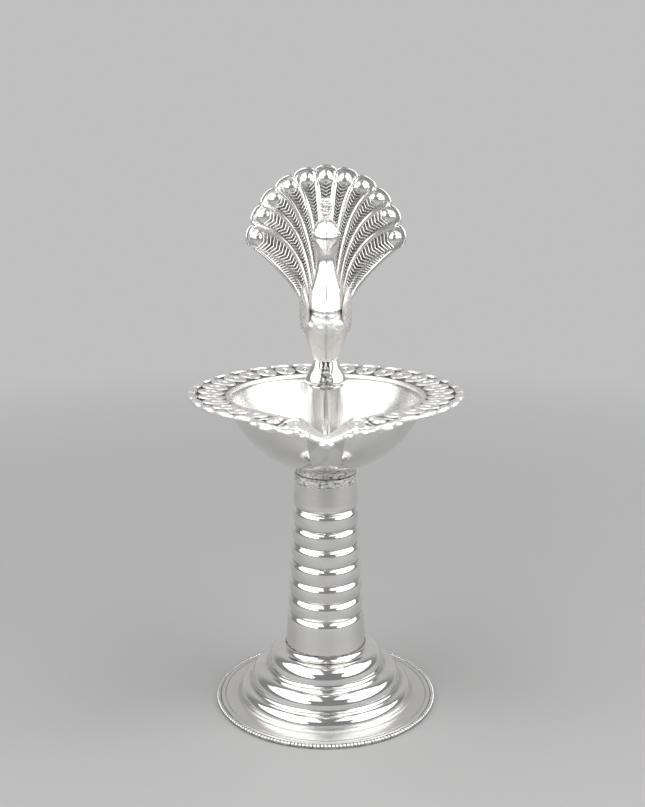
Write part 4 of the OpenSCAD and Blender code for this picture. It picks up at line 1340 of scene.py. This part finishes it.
class Fan:
    """The fan's surface: u runs from its left to its right edge, v from its root to the tips."""

    def __init__(self):
        self.p = sizes("lamp_fan")
        self.share = 1 - 2 * self.p.strip

    def feather(self, u):
        """Each point's feather, and its place across it from -1 to 1, beyond that in the side strips."""
        t = (u - self.p.strip) / self.share * self.p.feathers
        k = np.clip(np.floor(t), 0, self.p.feathers - 1)
        return k, 2 * (t - k) - 1

    def middle(self, k):
        """Place of a feather's middle line."""
        return self.p.strip + (k + 0.5) / self.p.feathers * self.share

    def place(self, u, v):
        """Points across and up in the fan's own sheet."""
        p = self.p
        across = 2 * u - 1
        wide = np.abs(across)
        out = np.clip((wide - self.share) / (1 - self.share), 0, 1)
        s = np.clip(self.feather(u)[1], -1, 1)
        turn = np.clip(across / self.share, -1, 1) * p.spread / 2 + np.sign(across) * out * p.edge_turn
        r = p.radius - p.tip_notch * (1 - np.sqrt(1 - s * s)) - p.edge_step * out
        a = np.radians(turn)
        tip = np.stack([r * np.sin(a), p.middle_z + r * np.cos(a)])
        root = np.stack([across * p.root_w / 2, p.root_z - p.tongue * (1 - across ** 2)])
        near = np.clip(wide / 0.58, 0, 1)
        side = np.clip((wide - 0.58) / 0.42, 0, 1)
        bend_x = 0.12 - 0.08 * near + 0.11 * side ** 2 + 0.14 * out
        bend_z = mix(0.7, 0.9, near) - 0.4 * side ** 1.5
        bend = np.stack([mix(root[0], tip[0], bend_x), mix(root[1], tip[1], bend_z)])
        return mix(mix(root, bend, v), mix(bend, tip, v), v)

    def point(self, u, v, out):
        """Points in space, raised to the front."""
        u, v = np.broadcast_arrays(np.asarray(u, float), np.asarray(v, float))
        x, z = self.place(u, v)
        return np.stack([x, self.p.back + self.p.lean * v * v - out, z], -1)

    def measure(self, u, v):
        """Distance from the tip along each line, half of the feather's width, and the side strip's width."""
        flat = self.point(u, v, 0.0)
        step = np.linalg.norm(np.diff(flat, axis=0), axis=2)
        rest = np.concatenate([np.cumsum(step[::-1], axis=0)[::-1], np.zeros((1, flat.shape[1]))])
        near = 0.4999 / self.p.feathers * self.share
        centre = self.middle(self.feather(u)[0])
        across = self.point(centre + near, v, 0.0) - self.point(centre - near, v, 0.0)
        edge = self.point(np.zeros_like(u), v, 0.0) - self.point(np.full_like(u, self.p.strip), v, 0.0)
        return rest, np.linalg.norm(across, axis=2) / 2, np.linalg.norm(edge, axis=2)

    def line(self, u):
        """One line from the root to the tip: its steps, and what measure says at each."""
        v = np.linspace(0, 1, 400)
        return v, *(found[:, 0] for found in self.measure(np.full((len(v), 1), u), v[:, None]))

    def spot(self, u, v, out):
        """A point raised from the sheet, and how the sheet is turned there."""
        ahead = self.point(u, min(v + 0.004, 1), out) - self.point(u, v - 0.004, out)
        aside = self.point(u + 0.002, v, out) - self.point(u - 0.002, v, out)
        z_axis = Vector(ahead).normalized()
        y_axis = z_axis.cross(Vector(aside)).normalized()
        return self.point(u, v, out), Matrix((y_axis.cross(z_axis), y_axis, z_axis)).transposed()

    def barbs(self):
        """Place, turn and size of each barb in the feathers."""
        p = self.p
        found = []
        for k in range(p.feathers):
            u = self.middle(k)
            steps, rest, half, _ = self.line(u)
            away = p.pad_in + 2 * p.pad_r + 0.5
            while away < rest[0] - 1.2:
                v = float(np.interp(-away, -rest, steps))
                wide = float(np.interp(v, steps, half))
                arm = 0.97 * (wide - min(p.ridge_w, 0.4 * wide))
                place, turned = self.spot(u, v, -0.08)
                found.append((place, turned.to_euler(), (arm, 0.65, mix(0.55, 1.0, min(1, wide / 2.2)))))
                away += p.barb_pitch * mix(0.7, 1.0, min(1, wide / 2.0))
        return zip(*found)

    def strokes(self):
        """Place, turn and size of each stroke of the hatching on the side strips."""
        p = self.p
        found = []
        for outward in (-1, 1):
            u = 0.5 + outward * (0.5 - p.strip)
            slant = Matrix.Rotation(outward * math.radians(p.stroke_turn), 3, "Y")
            steps, rest, _, strip = self.line(u)
            for away in np.arange(1.6, rest[0] * 0.85, p.stroke_pitch):
                v = float(np.interp(-away, -rest, steps))
                wide = float(np.interp(v, steps, strip))
                room = wide - 0.95
                if room < 0.35:
                    continue
                place, turned = self.spot(u + outward * p.strip * 0.5 * room / wide, v, 0.02)
                size = np.array([0.38, 0.42, (room + 0.3) * 1.13]) * MM
                found.append((place, (turned @ slant).to_euler(), size))
        return zip(*found)

    def relief(self, u, v):
        """Height of the stamping and its marks: tarnish in the troughs and lines, tarnish and painted shade
        in the rings round the domes.
        """
        p = self.p
        s = np.abs(self.feather(u)[1])
        rest, half, strip = self.measure(u, v)
        out = np.clip((np.abs(2 * u - 1) - self.share) / (1 - self.share), 0, 1)
        root = ease(v * 4)
        body = ease((rest - 0.4) / 0.8)

        # Ridges between the feathers, and the troughs that hold the barbs
        flank = np.minimum(p.ridge_w, 0.4 * half)
        roof = np.clip(1 - (1 - s) * half / flank, 0, 1)
        roof = roof - 0.1 * ease((roof - 0.75) / 0.25)
        last = np.abs(2 * u - 1) > self.share * (1 - 1 / p.feathers)
        ridge = np.where(s <= 1, roof, 0.9 * np.clip(1 - out * strip / 0.3, 0, 1)) * np.where(last, 0.4, 1)
        height = np.minimum(p.ridge_h, 0.8 * flank) * ridge * root * body
        trough = ease(((1 - s) * half - flank) / 0.12) * ease((rest - p.pad_in - 2 * p.pad_r - 0.1) / 0.4)
        height = height - 0.22 * np.minimum(1, half / 1.2) * trough * root
        marks = 0.95 * trough * root

        # Domes at the tips, each in a sunk ring darkened with tarnish and painted shade
        away = np.hypot(s * half, rest - p.pad_in - p.pad_r) / p.pad_r
        dome = np.clip(1 - away ** 2, 0, 1)
        height = np.maximum(height, p.pad_h * (dome + 0.6 * np.sqrt(dome)) / 1.6)
        # The sunk ring round each dome is darkened with tarnish and painted shade on all sides.
        ring = np.exp(-(((away - 1.12) / 0.12) ** 2)) * (s < 1) * (rest < 5)
        height = height - 0.1 * ring
        marks = np.maximum(marks, 0.75 * ring)

        # Raised rim along the tips
        rim = np.sqrt(np.clip(1 - ((rest / p.rim_w - 0.5) / 0.5) ** 2, 0, 1))
        height = np.maximum(height, 0.28 * rim)
        marks = np.maximum(marks, 0.8 * np.exp(-(((rest - p.rim_w - 0.08) / 0.1) ** 2)))

        # Folded edge and hatched field of the side strips
        side = (1 - out) * strip
        lip = np.sqrt(np.clip(1 - ((side - 0.5) / 0.5) ** 2, 0, 1))
        fold = (out > 0) * ease((1.1 - side) / 0.15) * ease(strip / 1.0)
        height = mix(height, 0.42 * lip ** 0.8, fold)
        groove = 0.9 * np.exp(-(((side - 1.08) / 0.1) ** 2))
        hatched = 0.75 * ease((side - 1.1) / 0.15) * ease((strip - 1.4) / 0.3)
        marks = np.where(out > 0, np.maximum(marks * (1 - fold), np.maximum(groove, hatched)), marks)
        return height, np.clip(marks, 0, 1)


def closed_sheet(front, back, front_marks, back_marks):
    """A closed sheet between a front and a back grid of points."""
    rows, columns = front.shape[:2]
    total = rows * columns
    faces = grid_faces(rows, columns)
    number = np.arange(total).reshape(rows, columns)
    rim = np.concatenate([number[0, :-1], number[:-1, -1], number[-1, :0:-1], number[:0:-1, 0]])
    after = np.roll(rim, -1)
    side = np.stack([rim, rim + total, after + total, after], -1)
    faces = np.concatenate([faces, faces[:, ::-1] + total, side])
    return Shape().add(np.concatenate([front, back]), faces, np.concatenate([front_marks, back_marks]))


class LAMP_OT_fan(bpy.types.Operator):
    """Makes the stamped tail fan, its barbs, its hatching and its back sheet"""

    bl_idname = "lamp.fan"
    bl_label = "Tail fan"

    def execute(self, context):
        fan = Fan()
        p = fan.p
        look = finishes()
        hidden = 0.3
        crease = 50
        cut = np.array([0, 0.04, 0.1, 0.17, 0.24, 0.265, 0.29, 0.32, 0.4])
        cut = np.concatenate([cut, [0.5], 1 - cut[:0:-1]])
        inner = fan.middle(np.arange(p.feathers)[:, None] + cut - 0.5).reshape(-1)
        inner = np.append(inner, 1 - p.strip)
        outer = np.linspace(0, p.strip, 11, endpoint=False)
        across = np.concatenate([outer, inner, (1 - outer)[::-1]])
        u, v = np.meshgrid(across, np.linspace(0, 1, 150) ** 0.85)
        height, marks = fan.relief(u, v)
        front = fan.point(u, v, height)
        back = fan.point(u, v, -p.sheet_t)
        sheet = closed_sheet(front, back, marks, np.full_like(marks, hidden))
        settle(sheet.build("tail_fan", look.stamped, crease), "lamp_head", "embossed", "tail_fan")

        barbs = point_piece("tail_barbs", *fan.barbs())
        grow(barbs, feather_barbs, {
            "Thickness": p.barb_t * MM,
            "Rise": p.barb_rise * MM,
            "Material": look.stamped,
        })
        settle(barbs, "lamp_head", "embossed")
        strokes = point_piece("tail_strokes", *fan.strokes())
        grow(strokes, beads_on_points, {"Segments": 8, "Rings": 7, "Material": look.stamped})
        settle(strokes, "lamp_head", "embossed")

        across = np.concatenate([[0, p.strip / 2], inner[::2], [1 - p.strip / 2, 1]])
        u, v = np.meshgrid(across, np.linspace(0, 1, 60))
        s = np.abs(np.clip(fan.feather(u)[1], -1, 1))
        rest = fan.measure(u, v)[0]
        bulge = 0.16
        soft = bulge * (1 - s) * ease(v * 3) * ease(rest / 2.5)
        rim = 0.12 * ease((0.9 - rest) / 0.4)
        lines = 0.55 * ease((s - 0.82) / 0.18) * ease(v * 3) * ease(rest - 1)
        seat = p.sheet_t + p.seat
        front = fan.point(u, v, -seat)
        back = fan.point(u, v, -(seat + p.backing_t - bulge + np.maximum(soft, rim)))
        sheet = closed_sheet(front, back, np.full_like(lines, hidden), lines)
        settle(sheet.build("tail_back", look.polished, crease), "lamp_head", "polished", "tail_back")
        return {"FINISHED"}


# The stage, in metres

BACKDROP = (0.53, 0.53, 0.528, 1)
ROOM = (0.25, 0.253, 0.257, 1)

# Soft lights: outline, width, height, power, place and turn
PANELS = {
    "left_panel": ("ELLIPSE", 1.1, 0.3, 2.7, (-0.4, -0.45, 0.24), (90, 0, -90)),
    "right_panel": ("ELLIPSE", 0.8, 0.3, 2.0, (0.4, -0.22, 0.24), (90, 0, 90)),
    "left_top": ("RECTANGLE", 0.85, 1.25, 6.4, (-0.52, -0.4, 0.7), (0, 0, 0)),
    "right_top": ("RECTANGLE", 0.85, 0.95, 4.9, (0.6, -0.22, 0.7), (0, 0, 0)),
}


def backdrop_seen(n):
    """1 for the rays of the camera, of metal and of glass, which all see the plain backdrop."""
    path = n.add("ShaderNodeLightPath").outputs
    mirrored = n.sum("MAXIMUM", path["Is Glossy Ray"], path["Is Transmission Ray"])
    return n.sum("MAXIMUM", path["Is Camera Ray"], mirrored)


def stage_colour(name, value):
    """A pale matt paint with a faint mottle, which runs into an even backdrop away from the lamp."""
    material, n = bare_material(name)
    place = n.add("ShaderNodeTexCoord").outputs["Object"]
    darker = tuple(c * 0.97 for c in value)
    paint = n.out("ShaderNodeBsdfPrincipled", {
        "Base Color": n.blend(n.noise(place, 9, 3), (*value, 1), (*darker, 1)), "Roughness": 0.7,
    })
    away = n.add("ShaderNodeVectorMath", {0: place}, operation="LENGTH").outputs["Value"]
    middle = {0: place, 1: (0, 0.8, 0.2)}
    reach = n.add("ShaderNodeVectorMath", middle, operation="DISTANCE").outputs["Value"]
    tone = n.blend(n.range(reach, 0, 1, 0.6, 1.5), BACKDROP, ROOM)
    surface = n.out("ShaderNodeMixShader", {
        0: n.times(n.range(away, 0, 1, 0.06, 0.4), backdrop_seen(n)),
        1: paint,
        2: n.out("ShaderNodeEmission", {"Color": tone, "Strength": 1.0}),
    })
    n.add("ShaderNodeOutputMaterial", {"Surface": surface})
    return material


class LAMP_OT_stage(bpy.types.Operator):
    """Makes the floor, the lights and the camera"""

    bl_idname = "lamp.stage"
    bl_label = "Stage"

    def execute(self, context):
        scene = context.scene
        half_w, front, far, bend, tall = 1.8, -1.6, 0.45, 0.35, 1.6
        sweep = np.concatenate([
            [[front, 0], [far - 0.1, 0]],
            arc(far, bend, bend, -90, 0, 24),
            [[far + bend, tall]],
        ])
        points = [(x, y, z) for y, z in sweep for x in (-half_w, half_w)]
        faces = [(2 * i, 2 * i + 1, 2 * i + 3, 2 * i + 2) for i in range(len(sweep) - 1)]
        mesh = bpy.data.meshes.new("floor")
        mesh.from_pydata(points, [], faces)
        mesh.shade_smooth()
        mesh.materials.append(stage_colour("pale floor paint", (0.37, 0.37, 0.367)))
        floor = linked("floor", mesh)

        for name, (outline, wide, high, power, place, turn) in PANELS.items():
            lamp = bpy.data.lights.new(name, "AREA")
            lamp.shape = outline
            lamp.size = wide
            lamp.size_y = high
            lamp.energy = power
            panel = linked(name, lamp)
            panel.location = place
            panel.rotation_euler = np.radians(turn)
            panel.visible_camera = False

        world = bpy.data.worlds.new("studio")
        world.use_nodes = True
        world.node_tree.nodes["Background"].inputs["Color"].default_value = ROOM
        scene.world = world

        data = bpy.data.cameras.new("camera")
        data.lens = 49.96
        data.sensor_width = 36
        data.clip_start = 0.01
        camera = linked("camera", data)
        camera.location = (-0.00075, -0.25, 0.132)
        camera.rotation_euler = (math.radians(76.62), 0, 0)
        scene.camera = camera
        scene.view_settings.view_transform = "Standard"
        return {"FINISHED"}


OPERATORS = (
    LAMP_OT_stage, LAMP_OT_foot, LAMP_OT_stem, LAMP_OT_neck, LAMP_OT_bowl, LAMP_OT_border, LAMP_OT_scrolls,
    LAMP_OT_post, LAMP_OT_legs, LAMP_OT_bird, LAMP_OT_wings, LAMP_OT_crest, LAMP_OT_fan,
)


class LAMP_PT_pieces(bpy.types.Panel):
    """Lists the lamp's pieces and their sizes"""

    bl_label = "Oil Lamp"
    bl_space_type = "VIEW_3D"
    bl_region_type = "UI"
    bl_category = "Lamp"

    def draw(self, context):
        for operator in OPERATORS:
            self.layout.operator(operator.bl_idname)
        for name, group in GROUPS.items():
            box = self.layout.box()
            box.label(text=group.__name__)
            for key in group.__annotations__:
                box.prop(getattr(context.scene, name), key)


def register():
    for group in GROUPS.values():
        bpy.utils.register_class(group)
    for operator in OPERATORS:
        bpy.utils.register_class(operator)
    bpy.utils.register_class(LAMP_PT_pieces)
    for name, group in GROUPS.items():
        setattr(bpy.types.Scene, name, bpy.props.PointerProperty(type=group))


def unregister():
    for name in GROUPS:
        delattr(bpy.types.Scene, name)
    bpy.utils.unregister_class(LAMP_PT_pieces)
    for operator in reversed(OPERATORS):
        bpy.utils.unregister_class(operator)
    for group in reversed(list(GROUPS.values())):
        bpy.utils.unregister_class(group)


def main():
    """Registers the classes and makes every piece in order."""
    register()
    for operator in OPERATORS:
        group, name = operator.bl_idname.split(".")
        getattr(getattr(bpy.ops, group), name)()


if __name__ == "__main__":
    main()
